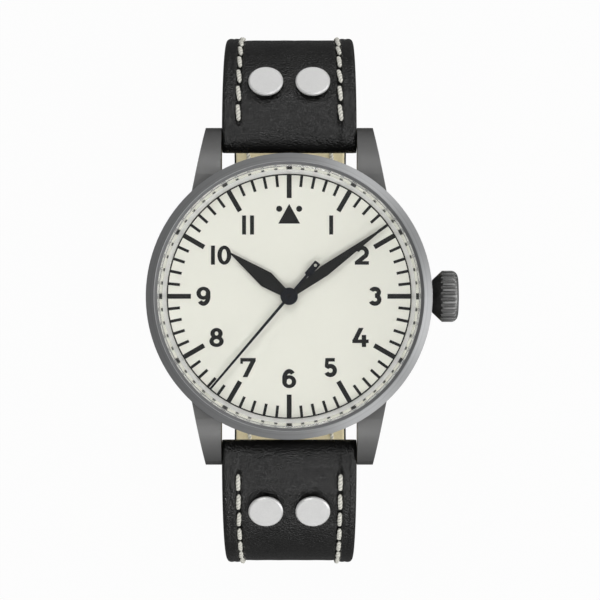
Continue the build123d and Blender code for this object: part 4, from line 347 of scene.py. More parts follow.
def oblong(radius, length, steps=16):
    """A circle's outline, drawn out along its second direction to a length."""
    turn = np.linspace(0, 2 * np.pi, 2 * steps, endpoint=False)
    shift = np.where(np.sin(turn) >= 0, 1, -1) * (length / 2 - radius)
    return np.stack([radius * np.cos(turn), radius * np.sin(turn) + shift], axis=-1)


def rounded_corners(half_a, half_b, radius, steps):
    """The four corners of a rounded rectangle about the origin, half_a and half_b to their middles: for each
    the places middle + radius·(cos, sin) of a quarter turn, and the way out at each."""
    arcs = []
    for number, (a, b) in enumerate(((1, 1), (-1, 1), (-1, -1), (1, -1))):
        turn = np.linspace(0, np.pi / 2, steps) + number * np.pi / 2
        out = np.stack([np.cos(turn), np.sin(turn)], axis=-1)
        arcs.append((np.array([a * half_a, b * half_b]) + radius * out, out))
    return arcs


# Side lines of the strap


def quarter(middle_y, middle_z, reach_y, reach_z, turn):
    """An ellipse's quarter: middle + (reach_y·cos, reach_z·sin) of the turn."""
    return np.stack([middle_y + reach_y * np.cos(turn), middle_z + reach_z * np.sin(turn)], axis=-1)


def hoop(upper, flat_y, side, start, flat, steps):
    """One half's curve from the lug bar to its flat run: an upper and a lower ellipse quarter, which lie side,
    start and flat out from the strap's middle line at its side, its start and its flat run."""
    middle_z = BAR_Z - upper
    lower_y, lower_z = BAR_Y + upper - flat_y, middle_z - FLAT_Z
    first_turn = np.linspace(np.pi / 2, 0, steps, endpoint=False)
    second_turn = np.linspace(0, -np.pi / 2, steps * 3 // 2)
    high = quarter(BAR_Y, middle_z, upper + side, upper + start, first_turn)
    low = quarter(flat_y, middle_z, lower_y + side, lower_z + flat, second_turn)
    return np.concatenate([high, low])


def both_sides(upper, flat_y, low_trim, top_trim, steps):
    """The wrist-side and outer curves of a layer whose faces lie low_trim and top_trim out from the strap's
    inner face. Without a top_trim the layer reaches the strap's outer face."""
    low = hoop(upper, flat_y, low_trim - SIDE_HALF, low_trim - NOSE_RADIUS, low_trim - FLAT_HALF, steps)
    if top_trim is None:
        return low, hoop(upper, flat_y, SIDE_HALF, NOSE_RADIUS, FLAT_HALF, steps)
    return low, hoop(upper, flat_y, top_trim - SIDE_HALF, top_trim - NOSE_RADIUS, top_trim - FLAT_HALF, steps)


def nose(middle, radius, steps):
    """Lower and upper places of a round end: middle - (radius·sin, ±radius·cos) of a turn to the flat."""
    turn = np.linspace(NOSE_TURN, 0, steps, endpoint=False)
    y = middle[0] - radius * np.sin(turn)
    rise = radius * np.cos(turn)
    return np.stack([y, middle[1] - rise], axis=-1), np.stack([y, middle[1] + rise], axis=-1)


def run_of(points):
    """Distance travelled along a line of places."""
    return np.concatenate([[0.0], np.cumsum(np.hypot(*np.diff(points, axis=0).T))])


def at_run(at, run, values):
    """Both columns of values at places of a run."""
    return np.stack([np.interp(at, run, values[:, 0]), np.interp(at, run, values[:, 1])], axis=-1)


def flat_run(start_y, end_y, z_low, z_top, step):
    """Low and top places of a flat stretch, without its first."""
    count = max(2, int(abs(end_y - start_y) / step))
    y = np.linspace(start_y, end_y, count + 1)[1:]
    return np.stack([y, np.full_like(y, z_low)], axis=-1), np.stack([y, np.full_like(y, z_top)], axis=-1)


def tail_line(step):
    """The long half's lower line: a flat run, an even bend down, one back, a flat run and a rising arc.
    Each stretch turns at a constant rate, so a place is the sum of small steps along the heading."""
    bend = BEND_RADIUS * BEND_TURN
    tail_flat = SHORT_FLAT_Y - (BEND_START_Y + 2 * BEND_RADIUS * math.sin(BEND_TURN))
    stretches = (
        (BEND_START_Y + LONG_FLAT_Y, 0.0),
        (bend, -1 / BEND_RADIUS),
        (bend, 1 / BEND_RADIUS),
        (tail_flat, 0.0),
        (TAIL_RADIUS * TAIL_TURN, 1 / TAIL_RADIUS),
    )
    ends = np.cumsum([0.0] + [length for length, rate in stretches])
    run = np.linspace(0, ends[-1], int(ends[-1] / step) + 1)
    headings = np.concatenate([[0.0], np.cumsum([length * rate for length, rate in stretches])])
    heading = np.interp(run, ends, headings)
    middle = (heading[1:] + heading[:-1]) / 2
    move = np.diff(run)[:, None] * np.stack([np.cos(middle), np.sin(middle)], axis=-1)
    line = np.concatenate([[[0.0, 0.0]], np.cumsum(move, axis=0)]) + [-LONG_FLAT_Y, FLAT_Z]
    away = np.stack([np.sin(heading), -np.cos(heading)], axis=-1)
    return run, line, away, np.stack([np.cos(heading), np.sin(heading)], axis=-1)


def half_width(z):
    """Half the strap's width, which narrows evenly from the lugs down."""
    share = np.clip((HALF_TOP_Z - z) / (HALF_TOP_Z - HALF_LOW_Z), 0, 1)
    return HALF_TOP + (HALF_LOW - HALF_TOP) * share


def section_loop(half, thick, edge, inset):
    """Across places and heights of a closed section for every step of the run: a flat top and underside joined
    by rounded edges. The margins lie at fixed distances from the edge, so that the seam stays beside it."""
    most_edge, outside_gap, least_gap = 0.46, 0.5, 0.05
    turn = np.radians(np.linspace(90, 4, 6))
    edge = np.minimum(edge, most_edge * thick)[:, None]
    seam = np.minimum(inset, 0.5 * half)[:, None]
    outer = edge + OUTSIDE_STEPS * np.maximum(seam - edge - outside_gap, least_gap) / OUTSIDE_STEPS[-1]
    margin = np.concatenate([outer, seam + SEAM_STEPS * np.minimum(1, seam / FULL_INSET)], axis=1)
    last = margin[:, -1:]
    margin = np.concatenate([margin, last + (half[:, None] - last) * MIDDLE_SHARES], axis=1)
    arc_x = half[:, None] - edge + edge * np.cos(turn)[::-1]
    arc_drop = edge - edge * np.sin(turn)[::-1]
    right_x = np.concatenate([arc_x, half[:, None] - margin], axis=1)
    right_drop = np.concatenate([arc_drop, np.zeros_like(margin)], axis=1)
    across = np.concatenate([-right_x, right_x[:, -2::-1]], axis=1)
    drop = np.concatenate([right_drop, right_drop[:, -2::-1]], axis=1)
    across = np.concatenate([across, across[:, ::-1]], axis=1)
    height = np.concatenate([thick[:, None] - drop, drop[:, ::-1]], axis=1)
    top = np.concatenate([np.ones_like(drop), np.zeros_like(drop)], axis=1)
    return across, height, top


def band_points(low, top, across, height):
    """Places of a strap layer: at each step of the run a section place lies at x = across, and between the low
    and top lines at the share height / thickness."""
    gap = top - low
    share = (height / np.hypot(*gap.T)[:, None])[..., None]
    side = low[:, None, :] + share * gap[:, None, :]
    return np.concatenate([across[..., None], side], axis=-1).reshape(-1, 3)


def short_lines(low_trim, top_trim, step):
    """Low and top lines of a layer of the short half, from the lug bar to the buckle bar, and half its width.
    The leather, which has no top_trim, also gets its round ends, and fills the lining's place at the buckle."""
    low, top = both_sides(SHORT_UPPER, SHORT_FLAT_Y, low_trim, top_trim, int(SHORT_CURVE / step))
    leather = top_trim is None
    run_low, run_top = flat_run(SHORT_FLAT_Y, 0.0 if leather else LINING_END_Y, low[-1, 1], top[-1, 1], step)
    if leather:
        run_low[run_low[:, 0] < LINING_END_Y, 1] = FLAT_Z + FLAT_HALF
        first_low, first_top = nose((BAR_Y, BAR_Z), NOSE_RADIUS, NOSE_STEPS)
        last_top, last_low = nose((0.0, FLAT_Z), FLAT_HALF, 9)
        low = np.concatenate([first_low, low, run_low, last_low[::-1]])
        top = np.concatenate([first_top, top, run_top, last_top[::-1]])
    else:
        low = np.concatenate([low, run_low])
        top = np.concatenate([top, run_top])
    return low, top, half_width(top[:, 1])


def long_lines(low_trim, top_trim, step):
    """Low and top lines of a layer of the long half, from the lug bar to the pointed tail, and half its width.
    The leather, which has no top_trim, also gets its round end."""
    low, top = both_sides(LONG_UPPER, LONG_FLAT_Y, low_trim, top_trim, int(LONG_CURVE / step))
    low, top = low * [-1, 1], top * [-1, 1]
    run, line, away, heading = tail_line(step)
    run_low = line + away * (low_trim - FLAT_HALF)
    run_top = line + away * (FLAT_HALF if top_trim is None else top_trim - FLAT_HALF)
    half = half_width(run_top[:, 1])
    left = run[-1] - run
    half = np.where(left < TAIL_POINT, TAIL_END_HALF + (half - TAIL_END_HALF) * left / TAIL_POINT, half)
    half = np.concatenate([half_width(top[:, 1]), half[1:]])
    low = np.concatenate([low, run_low[1:]])
    top = np.concatenate([top, run_top[1:]])
    if top_trim is None:
        first_low, first_top = nose((BAR_Y, BAR_Z), NOSE_RADIUS, NOSE_STEPS)
        low = np.concatenate([first_low * [-1, 1], low])
        top = np.concatenate([first_top * [-1, 1], top])
        half = np.concatenate([half_width(first_top[:, 1]), half])
    return low, top, half


def round_corners(half, run, radius):
    """Plan rounding at the start of a half: the width grows along a quarter circle over the run's first radius."""
    short = np.clip(1 - run / radius, 0, 1)
    return half - radius * (1 - np.sqrt(1 - short * short))


def seam_places(run, half, inset, first, last, pitch):
    """Middles of the stitches of one seam, as steps of the run and a distance from the middle line.
    The seam keeps its distance from the edge; the stitches are spaced evenly along it."""
    line_x = np.maximum(half - inset, 0)
    length = run_of(np.stack([run, line_x], axis=-1))
    start, end = np.interp([first, last], run, length)
    at = np.arange(start + pitch / 2, end - pitch / 2, pitch)
    return np.interp(at, length, run), np.interp(at, length, line_x)


def on_band(face, other, run, at, x, lift):
    """Places on a layer's face, at steps of its run and across places and lifted off it away from its other
    face, with the run's heading and the way out."""
    reach = 0.4
    along = at_run(at + reach, run, face) - at_run(at - reach, run, face)
    along /= np.hypot(*along.T)[:, None]
    out = at_run(at, run, face - other)
    out -= along * np.einsum("ij,ij->i", out, along)[:, None]
    out /= np.hypot(*out.T)[:, None]
    place = np.column_stack([x, at_run(at, run, face) + lift * out])
    zero = np.zeros(len(at))
    return place, np.column_stack([zero, along]), np.column_stack([zero, out])


def stitch_mesh(name, places, along, out, length, width, slant):
    """Rows of short twisted threads. With a from -1 to 1 along a stitch and b round it, a place is
    middle + along·a·length/2 + side·cos b + out·sin b, where the ring's size falls to nothing at both ends,
    swells twice round with the twist, and both ends dive into the leather with the fourth power of a."""
    rows, columns = 9, 8
    least_ring, swelling, twist, diving, flatness = 0.02, 0.10, 7, 0.42, 0.8
    a = np.sin(np.linspace(-np.pi / 2, np.pi / 2, rows))[:, None]
    b = np.linspace(0, 2 * np.pi, columns, endpoint=False)[None, :]
    ring = np.sqrt(np.maximum(1 - a**6, least_ring))
    radius = width / 2 * ring * (1 + swelling * np.cos(2 * b - twist * a))
    dive = -diving * width * a**4 * np.ones_like(b)
    scatter = np.random.default_rng(len(places)).standard_normal(len(places))
    lean = slant + STITCH_SCATTER * scatter[:, None]
    tilted = along * np.cos(lean) + np.cross(along, out) * np.sin(lean)
    sideways = np.cross(tilted, out)
    points = (
        places[:, None, None, :]
        + tilted[:, None, None, :] * (a * length / 2 * np.ones_like(b))[None, ..., None]
        + sideways[:, None, None, :] * (radius * np.cos(b))[None, ..., None]
        + out[:, None, None, :] * (radius * flatness * np.sin(b) + dive)[None, ..., None]
    )
    cap = np.array([[0, 1, 2, 3], [0, 3, 4, 7], [4, 5, 6, 7]])
    walls = lattice(rows, columns, wrap_columns=True)
    one = np.concatenate([walls, cap[:, ::-1], cap + (rows - 1) * columns])
    count = len(places)
    quads = (one[None] + (np.arange(count) * rows * columns)[:, None, None]).reshape(-1, 4)
    turn = np.broadcast_to(b / (2 * np.pi), (rows, columns))
    reach = np.broadcast_to(a * length / 2, (rows, columns))
    thread_map = np.tile(np.stack([turn, reach], axis=-1).reshape(-1, 2), (count, 1))
    return make_mesh(name, points.reshape(-1, 3), quads, thread_map)


def relief(strap, run, half, across, rivet_run, holes_run):
    """Height of the outer face over its plain line, in millimetres: the middle lies lower, the seam pulls the
    leather in and more so where the thread goes through it, a pressed line runs beside the edge, the leather
    dips round the rivets, and slow waves keep it from being flat."""
    hollow_width, seam_width, crease_inset, crease_width = 0.12, 0.34, 1.12, 0.16
    seam_start, seam_fade, hole_depth, hole_width = 0.6, 0.2, 0.22, 0.3
    dip_depth, dip_width, dip_gap, head_depth = 0.24, 0.5, 0.12, 0.1
    slow_wave, quick_wave = 0.022, 0.014
    margin = half[:, None] - np.abs(across)
    seam = margin - np.minimum(strap.stitch_inset / MM, 0.5 * half)[:, None]
    by_seam = np.exp(-((seam / seam_width) ** 2))
    height = -strap.hollow / MM / (1 + np.exp(-seam / hollow_width))
    before = 1 + np.exp(-(run - holes_run[0] + seam_start) / seam_fade)
    after = 1 + np.exp((run - holes_run[-1] - seam_start) / seam_fade)
    height -= strap.groove / MM * (1 / before / after)[:, None] * by_seam
    height -= strap.crease / MM * np.exp(-(((margin - crease_inset) / crease_width) ** 2))
    near = np.min(np.abs(run[:, None] - holes_run[None, :]), axis=1)
    height -= hole_depth * np.exp(-((near / hole_width) ** 2))[:, None] * by_seam
    step = run[:, None]
    for x in (-RIVET_X, RIVET_X):
        reach = np.hypot(step - rivet_run, across - x)
        height -= dip_depth * np.exp(-(((reach - RIVET_HEAD - dip_gap) / dip_width) ** 2))
        height -= head_depth * (reach < RIVET_HEAD)
    height += slow_wave * np.sin(0.61 * step + 0.9 * across) * np.cos(0.83 * across - 0.27 * step)
    height += quick_wave * np.sin(1.7 * step - 1.1 * across + 0.6) * np.sin(1.3 * across + 0.4 * step)
    return height


def settings():
    """The watch's sizes and its colours."""
    scene = bpy.context.scene
    return scene.watch_strap, scene.watch_colours


# Shader patterns. Each group takes places in metres and puts out a mask from 0 to 1 and a height.


def open_group(name, inputs):
    """A node group with the named inputs and the two outputs that every pattern has."""
    tree = bpy.data.node_groups.new(name, "ShaderNodeTree")
    tree.interface.new_socket("Vector", in_out="INPUT", socket_type="NodeSocketVector")
    for label, default in inputs:
        socket = tree.interface.new_socket(label, in_out="INPUT", socket_type="NodeSocketFloat")
        socket.default_value = default
    for label in ("Mask", "Height"):
        tree.interface.new_socket(label, in_out="OUTPUT", socket_type="NodeSocketFloat")
    return tree, tree.nodes.new("NodeGroupInput"), tree.nodes.new("NodeGroupOutput")


def put_out(tree, give, height, mask):
    """The finished group, with its height and mask linked to its outputs."""
    tree.links.new(height, give.inputs["Height"])
    tree.links.new(mask, give.inputs["Mask"])
    return tree


def add_node(tree, kind, inputs=(), **settings_by_name):
    """A node with its settings, and its inputs set to values or linked to sockets."""
    node = tree.nodes.new(kind)
    for key, value in settings_by_name.items():
        setattr(node, key, value)
    for key, value in dict(inputs).items():
        if isinstance(value, bpy.types.NodeSocket):
            tree.links.new(value, node.inputs[key])
        else:
            node.inputs[key].default_value = value
    return node


def maths(tree, operation, a, b=0.0, c=0.0):
    """One sum of up to three values."""
    return add_node(tree, "ShaderNodeMath", {0: a, 1: b, 2: c}, operation=operation).outputs[0]


def distance(tree, a, b):
    """The square root of a·a + b·b."""
    return maths(tree, "SQRT", maths(tree, "MULTIPLY_ADD", a, a, maths(tree, "MULTIPLY", b, b)))


def spread(tree, value, low, high, to_low=0.0, to_high=1.0):
    """A value brought from one range to another and held inside it."""
    inputs = {"Value": value, "From Min": low, "From Max": high, "To Min": to_low, "To Max": to_high}
    return add_node(tree, "ShaderNodeMapRange", inputs).outputs["Result"]


def noise(tree, vector, scale, detail=2.0, roughness=0.5):
    """Noise over places, with its scale in turns to the metre."""
    inputs = {"Vector": vector, "Scale": scale, "Detail": detail, "Roughness": roughness}
    return add_node(tree, "ShaderNodeTexNoise", inputs).outputs["Fac"]


def line_noise(tree, place, roughness=0.5):
    """Noise over a single value."""
    inputs = {"W": place, "Scale": 1.0, "Detail": 3.0, "Roughness": roughness}
    return add_node(tree, "ShaderNodeTexNoise", inputs, noise_dimensions="1D").outputs["Fac"]


def mix_colour(tree, share, low, high):
    """A colour that runs from one to another with a share."""
    return add_node(tree, "ShaderNodeMix", {0: share, 6: low, 7: high}, data_type="RGBA").outputs[2]


def from_middle(tree, take):
    """X and Y from a group's middle, and Z."""
    parts = add_node(tree, "ShaderNodeSeparateXYZ", {0: take.outputs["Vector"]})
    x, y = (maths(tree, "SUBTRACT", parts.outputs[axis], take.outputs[f"Middle {axis}"]) for axis in "XY")
    return x, y, parts.outputs["Z"]


def pebbled_group():
    """Leather grain: fine pebbles and small cells with sunk borders, wandering in size, over a slow unevenness.
    The mask lightens the cell tops and darkens the sunk borders, painted highlight and painted shade, over slow
    random patches of tone.
    """
    tree, take, give = open_group("pebbled grain", (("Scale", 2200.0),))
    vector = take.outputs["Vector"]
    wander = add_node(tree, "ShaderNodeTexNoise", {"Vector": vector, "Scale": 900.0, "Detail": 1.0})
    shift = {0: wander.outputs["Color"], 1: (0.22 * MM,) * 3, 2: vector}
    moved = add_node(tree, "ShaderNodeVectorMath", shift, operation="MULTIPLY_ADD").outputs[0]
    cell = {"Vector": moved, "Scale": take.outputs["Scale"], "Randomness": 1.0}
    cells = add_node(tree, "ShaderNodeTexVoronoi", cell, feature="DISTANCE_TO_EDGE")
    border = spread(tree, cells.outputs["Distance"], 0.0, 0.22)
    patch = noise(tree, vector, 260.0, 3.0)
    pebbles = noise(tree, vector, 3200.0, 1.0)
    cell_height = spread(tree, patch, 0.35, 0.65, 0.08, 0.22)
    # Mask: slow random patches of tone, times painted shade in the sunk cell borders with painted highlight on the
    # cell tops
    mask = maths(tree, "MULTIPLY", spread(tree, patch, 0.3, 0.7), spread(tree, border, 0.0, 1.0, 0.5, 1.0))
    return put_out(tree, give, maths(tree, "MULTIPLY_ADD", border, cell_height, pebbles), mask)


def blasted_group():
    """Bead-blasted or painted surface: fine even speckle with a faint slow mottle."""
    tree, take, give = open_group("blasted speckle", (("Scale", 9000.0), ("Mottle", 180.0)))
    fine = noise(tree, take.outputs["Vector"], take.outputs["Scale"], 2.0, 0.6)
    slow = noise(tree, take.outputs["Vector"], take.outputs["Mottle"], 3.0)
    both = maths(tree, "MULTIPLY_ADD", fine, 0.5, maths(tree, "MULTIPLY", slow, 0.5))
    return put_out(tree, give, fine, spread(tree, both, 0.35, 0.65))


def brushed_group():
    """Straight brushing: noise drawn out along one axis by the three stretches."""
    tree, take, give = open_group("straight brushing", (("Along X", 1.0), ("Along Y", 1.0), ("Along Z", 1.0)))
    stretches = {axis: take.outputs[f"Along {axis}"] for axis in "XYZ"}
    stretch = add_node(tree, "ShaderNodeCombineXYZ", stretches).outputs[0]
    drawn = {0: take.outputs["Vector"], 1: stretch}
    vector = add_node(tree, "ShaderNodeVectorMath", drawn, operation="MULTIPLY").outputs[0]
    lines = noise(tree, vector, 6000.0, 3.0, 0.6)
    return put_out(tree, give, lines, spread(tree, lines, 0.3, 0.7))


def turned_group():
    """Turning marks: rings about an upright axis, from noise over the distance to it, which also climb with Z."""
    tree, take, give = open_group("turning marks", (("Middle X", 0.0), ("Middle Y", 0.0), ("Scale", 9000.0)))
    x, y, z = from_middle(tree, take)
    reach = maths(tree, "ADD", distance(tree, x, y), maths(tree, "MULTIPLY", z, 0.7))
    rings = line_noise(tree, maths(tree, "MULTIPLY", reach, take.outputs["Scale"]), 0.65)
    return put_out(tree, give, rings, spread(tree, rings, 0.3, 0.7))


def sunray_group():
    """Sunray finish: fine lines that fan out from an upright axis."""
    tree, take, give = open_group("sunray lines", (("Middle X", 0.0), ("Middle Y", 0.0), ("Scale", 60.0)))
    x, y, _ = from_middle(tree, take)
    lines = line_noise(tree, maths(tree, "MULTIPLY", maths(tree, "ARCTAN2", y, x), take.outputs["Scale"]))
    return put_out(tree, give, lines, spread(tree, lines, 0.3, 0.7))


def striped_group():
    """Striped bridges: side by side shallow troughs of a given spacing, each crossed by fine brushing."""
    tree, take, give = open_group("striped bridges", (("Spacing", 0.0017),))
    parts = add_node(tree, "ShaderNodeSeparateXYZ", {0: take.outputs["Vector"]})
    slant = maths(tree, "MULTIPLY_ADD", parts.outputs["X"], 0.5, parts.outputs["Y"])
    share = maths(tree, "FRACT", maths(tree, "DIVIDE", slant, take.outputs["Spacing"]))
    away = maths(tree, "ABSOLUTE", maths(tree, "SUBTRACT", share, 0.5))
    lines = noise(tree, take.outputs["Vector"], 5000.0, 2.0)
    height = maths(tree, "MULTIPLY_ADD", lines, 0.04, maths(tree, "MULTIPLY", away, away))
    return put_out(tree, give, height, share)


def twisted_group():
    """Twisted thread: slanting bands from the thread's own map, which holds the share of a turn and the run in
    millimetres. The same level gives the height and the mask, so the colour is painted shade in the grooves
    between strands and painted highlight on their crowns."""
    tree, take, give = open_group("twisted thread", (("Strands", 2.0), ("Twist", 1.9)))
    parts = add_node(tree, "ShaderNodeSeparateXYZ", {0: take.outputs["Vector"]})
    round_part = maths(tree, "MULTIPLY", parts.outputs["X"], take.outputs["Strands"])
    phase = maths(tree, "MULTIPLY_ADD", parts.outputs["Y"], take.outputs["Twist"], round_part)
    wave = maths(tree, "SINE", maths(tree, "MULTIPLY", phase, 2 * math.pi))
    level = spread(tree, wave, -1.0, 0.6)
    # The height level is also the colour mask: painted shade in the grooves, painted highlight on the strands
    return put_out(tree, give, level, level)


PATTERNS = {
    "pebbled": pebbled_group,
    "blasted": blasted_group,
    "brushed": brushed_group,
    "turned": turned_group,
    "sunray": sunray_group,
    "striped": striped_group,
    "twisted": twisted_group,
}
made_patterns = {}


def pattern(name):
    """The named pattern's group, built the first time it is asked for."""
    if name not in made_patterns:
        made_patterns[name] = PATTERNS[name]()
    return made_patterns[name]


# Finishes


class Finish(NamedTuple):
    """A colour, or the name of one of the watch's colours; a pattern and its values; how far colour and
    roughness run with the pattern; the relief in metres; and the shader's plain values."""

    colour: str | tuple
    pattern: str
    values: dict | tuple = ()
    contrast: float = 0.2
    rough: tuple = (0.4, 0.5)
    lift: float = 0.0
    metallic: float = 0.0
    gloss: float = 0.5
    coat: float = 0.0
    source: str = "Object"


BLUED = (0.010, 0.012, 0.018)
NICKEL = (0.60, 0.59, 0.56)
TURNED_STEEL = Finish(
    "bezel", "turned", {"Scale": 14000.0}, contrast=0.08, rough=(0.38, 0.46), lift=6 * MICRON, metallic=1.0
)
GILT = Finish(
    "brass", "turned", {"Scale": 8000.0}, contrast=0.10, rough=(0.2, 0.32), lift=4 * MICRON, metallic=1.0
)
SUNRAY = Finish(
    (0.55, 0.55, 0.54), "sunray", contrast=0.16, rough=(0.18, 0.3), lift=4 * MICRON, metallic=1.0
)
FINISHES = {
    # Black leather whose strong colour contrast paints highlights and shade into the grain
    "black grained leather": Finish(
        "leather", "pebbled", {"Scale": 2500.0}, contrast=0.5, rough=(0.18, 0.28), lift=180 * MICRON
    ),
    # Cream thread whose colour contrast paints shade into the twist's grooves
    "cream thread": Finish(
        "thread", "twisted", contrast=0.22, rough=(0.7, 0.85), lift=60 * MICRON, source="UV"
    ),
    "tan lining leather": Finish(
        "lining", "blasted", {"Scale": 2600.0, "Mottle": 140.0},
        contrast=0.08, rough=(0.6, 0.75), lift=40 * MICRON,
    ),
    "blasted steel": Finish(
        "case", "blasted", {"Scale": 9000.0, "Mottle": 150.0},
        contrast=0.08, rough=(0.46, 0.54), lift=12 * MICRON, metallic=1.0,
    ),
    # Blasted crown steel, over which painted highlights and shade are laid
    "rubbed crown steel": Finish(
        "case", "blasted", {"Scale": 9000.0, "Mottle": 400.0},
        contrast=0.14, rough=(0.40, 0.50), lift=10 * MICRON, metallic=1.0,
    ),
    "turned bezel steel": TURNED_STEEL,
    # The bezel's turned steel, with painted shade on its inner bevel
    "turned bezel steel with a dull bevel": TURNED_STEEL,
    "satin steel": Finish(
        (0.56, 0.56, 0.55), "brushed", {"Along X": 0.04},
        contrast=0.12, rough=(0.24, 0.36), lift=8 * MICRON, metallic=1.0,
    ),
    "polished rivet steel": Finish(
        (0.88, 0.88, 0.87), "blasted", {"Scale": 3000.0, "Mottle": 300.0},
        contrast=0.03, rough=(0.30, 0.36), lift=4 * MICRON, metallic=0.4,
    ),
    "black rubber": Finish((0.02, 0.02, 0.02), "blasted", contrast=0.15, rough=(0.6, 0.7), lift=10 * MICRON),
    "white nylon": Finish((0.82, 0.82, 0.80), "blasted", contrast=0.03, rough=(0.4, 0.5), lift=4 * MICRON),
    "silvered dial ring": Finish(
        (0.86, 0.86, 0.84), "turned", {"Scale": 9000.0}, contrast=0.04, rough=(0.3, 0.4), metallic=1.0
    ),
    "cream dial paint": Finish(
        "dial", "blasted", {"Scale": 14000.0, "Mottle": 60.0},
        contrast=0.018, rough=(0.5, 0.6), lift=3 * MICRON,
    ),
    "black dial print": Finish(
        "ink", "blasted", {"Scale": 12000.0, "Mottle": 900.0},
        contrast=0.25, rough=(0.5, 0.65), lift=3 * MICRON, gloss=0.15,
    ),
    "black enamelled hands": Finish(
        "ink", "blasted", {"Scale": 6000.0, "Mottle": 400.0},
        contrast=0.25, rough=(0.32, 0.42), lift=2 * MICRON, gloss=0.15,
    ),
    "dark blued steel": Finish(
        BLUED, "turned", {"Scale": 7000.0}, contrast=0.25, rough=(0.25, 0.35), lift=2 * MICRON, metallic=0.9
    ),
    "striped nickel": Finish(
        NICKEL, "striped", contrast=0.10, rough=(0.2, 0.3), lift=220 * MICRON, metallic=1.0
    ),
    "grained nickel": Finish(
        NICKEL, "blasted", {"Scale": 7000.0, "Mottle": 900.0},
        contrast=0.08, rough=(0.3, 0.42), lift=10 * MICRON, metallic=1.0,
    ),
    "gilt brass": GILT,
    "gilt brass with a blued tip": GILT,
    "sunray ratchet steel": SUNRAY,
    "sunray crown wheel steel": SUNRAY,
    "cut steel": Finish(
        (0.50, 0.50, 0.49), "brushed", {"Along Y": 0.06},
        contrast=0.10, rough=(0.2, 0.32), lift=4 * MICRON, metallic=1.0,
    ),
    "heat-blued steel": Finish(
        (0.03, 0.07, 0.30), "turned", {"Scale": 6000.0},
        contrast=0.25, rough=(0.15, 0.25), lift=2 * MICRON, metallic=1.0,
    ),
    "red bearing jewel": Finish(
        (0.62, 0.01, 0.07), "blasted", contrast=0.12, rough=(0.05, 0.12), coat=0.6
    ),
}
COAT_ROUGHNESS = 0.25
GLASS_IOR = 1.45


def shade(colour, share=1.0):
    """A colour for a socket, made darker or lighter by a share."""
    return (*(min(1.0, value * share) for value in colour), 1.0)


def surface(name, values=()):
    """A finish's material: colour and roughness run with the pattern's mask and the normal follows its height."""
    finish = FINISHES[name]
    colour = getattr(settings()[1], finish.colour) if isinstance(finish.colour, str) else finish.colour
    material = bpy.data.materials.new(name)
    material.use_nodes = True
    tree = material.node_tree
    shader = tree.nodes["Principled BSDF"]
    where = tree.nodes.new("ShaderNodeTexCoord")
    marks = add_node(tree, "ShaderNodeGroup", node_tree=pattern(finish.pattern))
    tree.links.new(where.outputs[finish.source], marks.inputs["Vector"])
    for key, value in (*dict(finish.values).items(), *dict(values).items()):
        marks.inputs[key].default_value = value
    mask = marks.outputs["Mask"]
    run = mix_colour(tree, mask, shade(colour, 1 - finish.contrast), shade(colour, 1 + finish.contrast))
    tree.links.new(run, shader.inputs["Base Color"])
    by_share(tree, "Roughness", mask, *finish.rough)
    if finish.lift:
        height = {"Strength": 1.0, "Distance": finish.lift, "Height": marks.outputs["Height"]}
        tree.links.new(add_node(tree, "ShaderNodeBump", height).outputs["Normal"], shader.inputs["Normal"])
    shader.inputs["Metallic"].default_value = finish.metallic
    shader.inputs["Specular IOR Level"].default_value = finish.gloss
    if finish.coat:
        shader.inputs["Coat Weight"].default_value = finish.coat
        shader.inputs["Coat Roughness"].default_value = COAT_ROUGHNESS
    return material


def by_share(tree, socket, share, low, high):
    """Runs one of the shader's plain values from low to high with a share from 0 to 1."""
    tree.links.new(spread(tree, share, 0.0, 1.0, low, high), tree.nodes["Principled BSDF"].inputs[socket])


def base_colour(tree):
    """The shader's colour socket and the socket that feeds it."""
    socket = tree.nodes["Principled BSDF"].inputs["Base Color"]
    return socket, socket.links[0].from_socket


def own_places(tree):
    """X, Y and Z of the places that a finish is laid over."""
    where = next(node for node in tree.nodes if node.type == "TEX_COORD")
    parts = add_node(tree, "ShaderNodeSeparateXYZ", {0: where.outputs["Object"]})
    return [parts.outputs[axis] for axis in "XYZ"]


def glass(name, colour):
    """Clear glass that lets the lamps through to what lies under it."""
    material = bpy.data.materials.new(name)
    material.use_nodes = True
    tree = material.node_tree
    shader = tree.nodes["Principled BSDF"]
    shader.inputs["Base Color"].default_value = shade(colour)
    shader.inputs["Transmission Weight"].default_value = 1.0
    shader.inputs["Roughness"].default_value = 0.0
    shader.inputs["IOR"].default_value = GLASS_IOR
    clear = tree.nodes.new("ShaderNodeBsdfTransparent")
    path = tree.nodes.new("ShaderNodeLightPath")
    inputs = {0: path.outputs["Is Shadow Ray"], 1: shader.outputs[0], 2: clear.outputs[0]}
    either = add_node(tree, "ShaderNodeMixShader", inputs)
    tree.links.new(either.outputs[0], tree.nodes["Material Output"].inputs["Surface"])
    return material


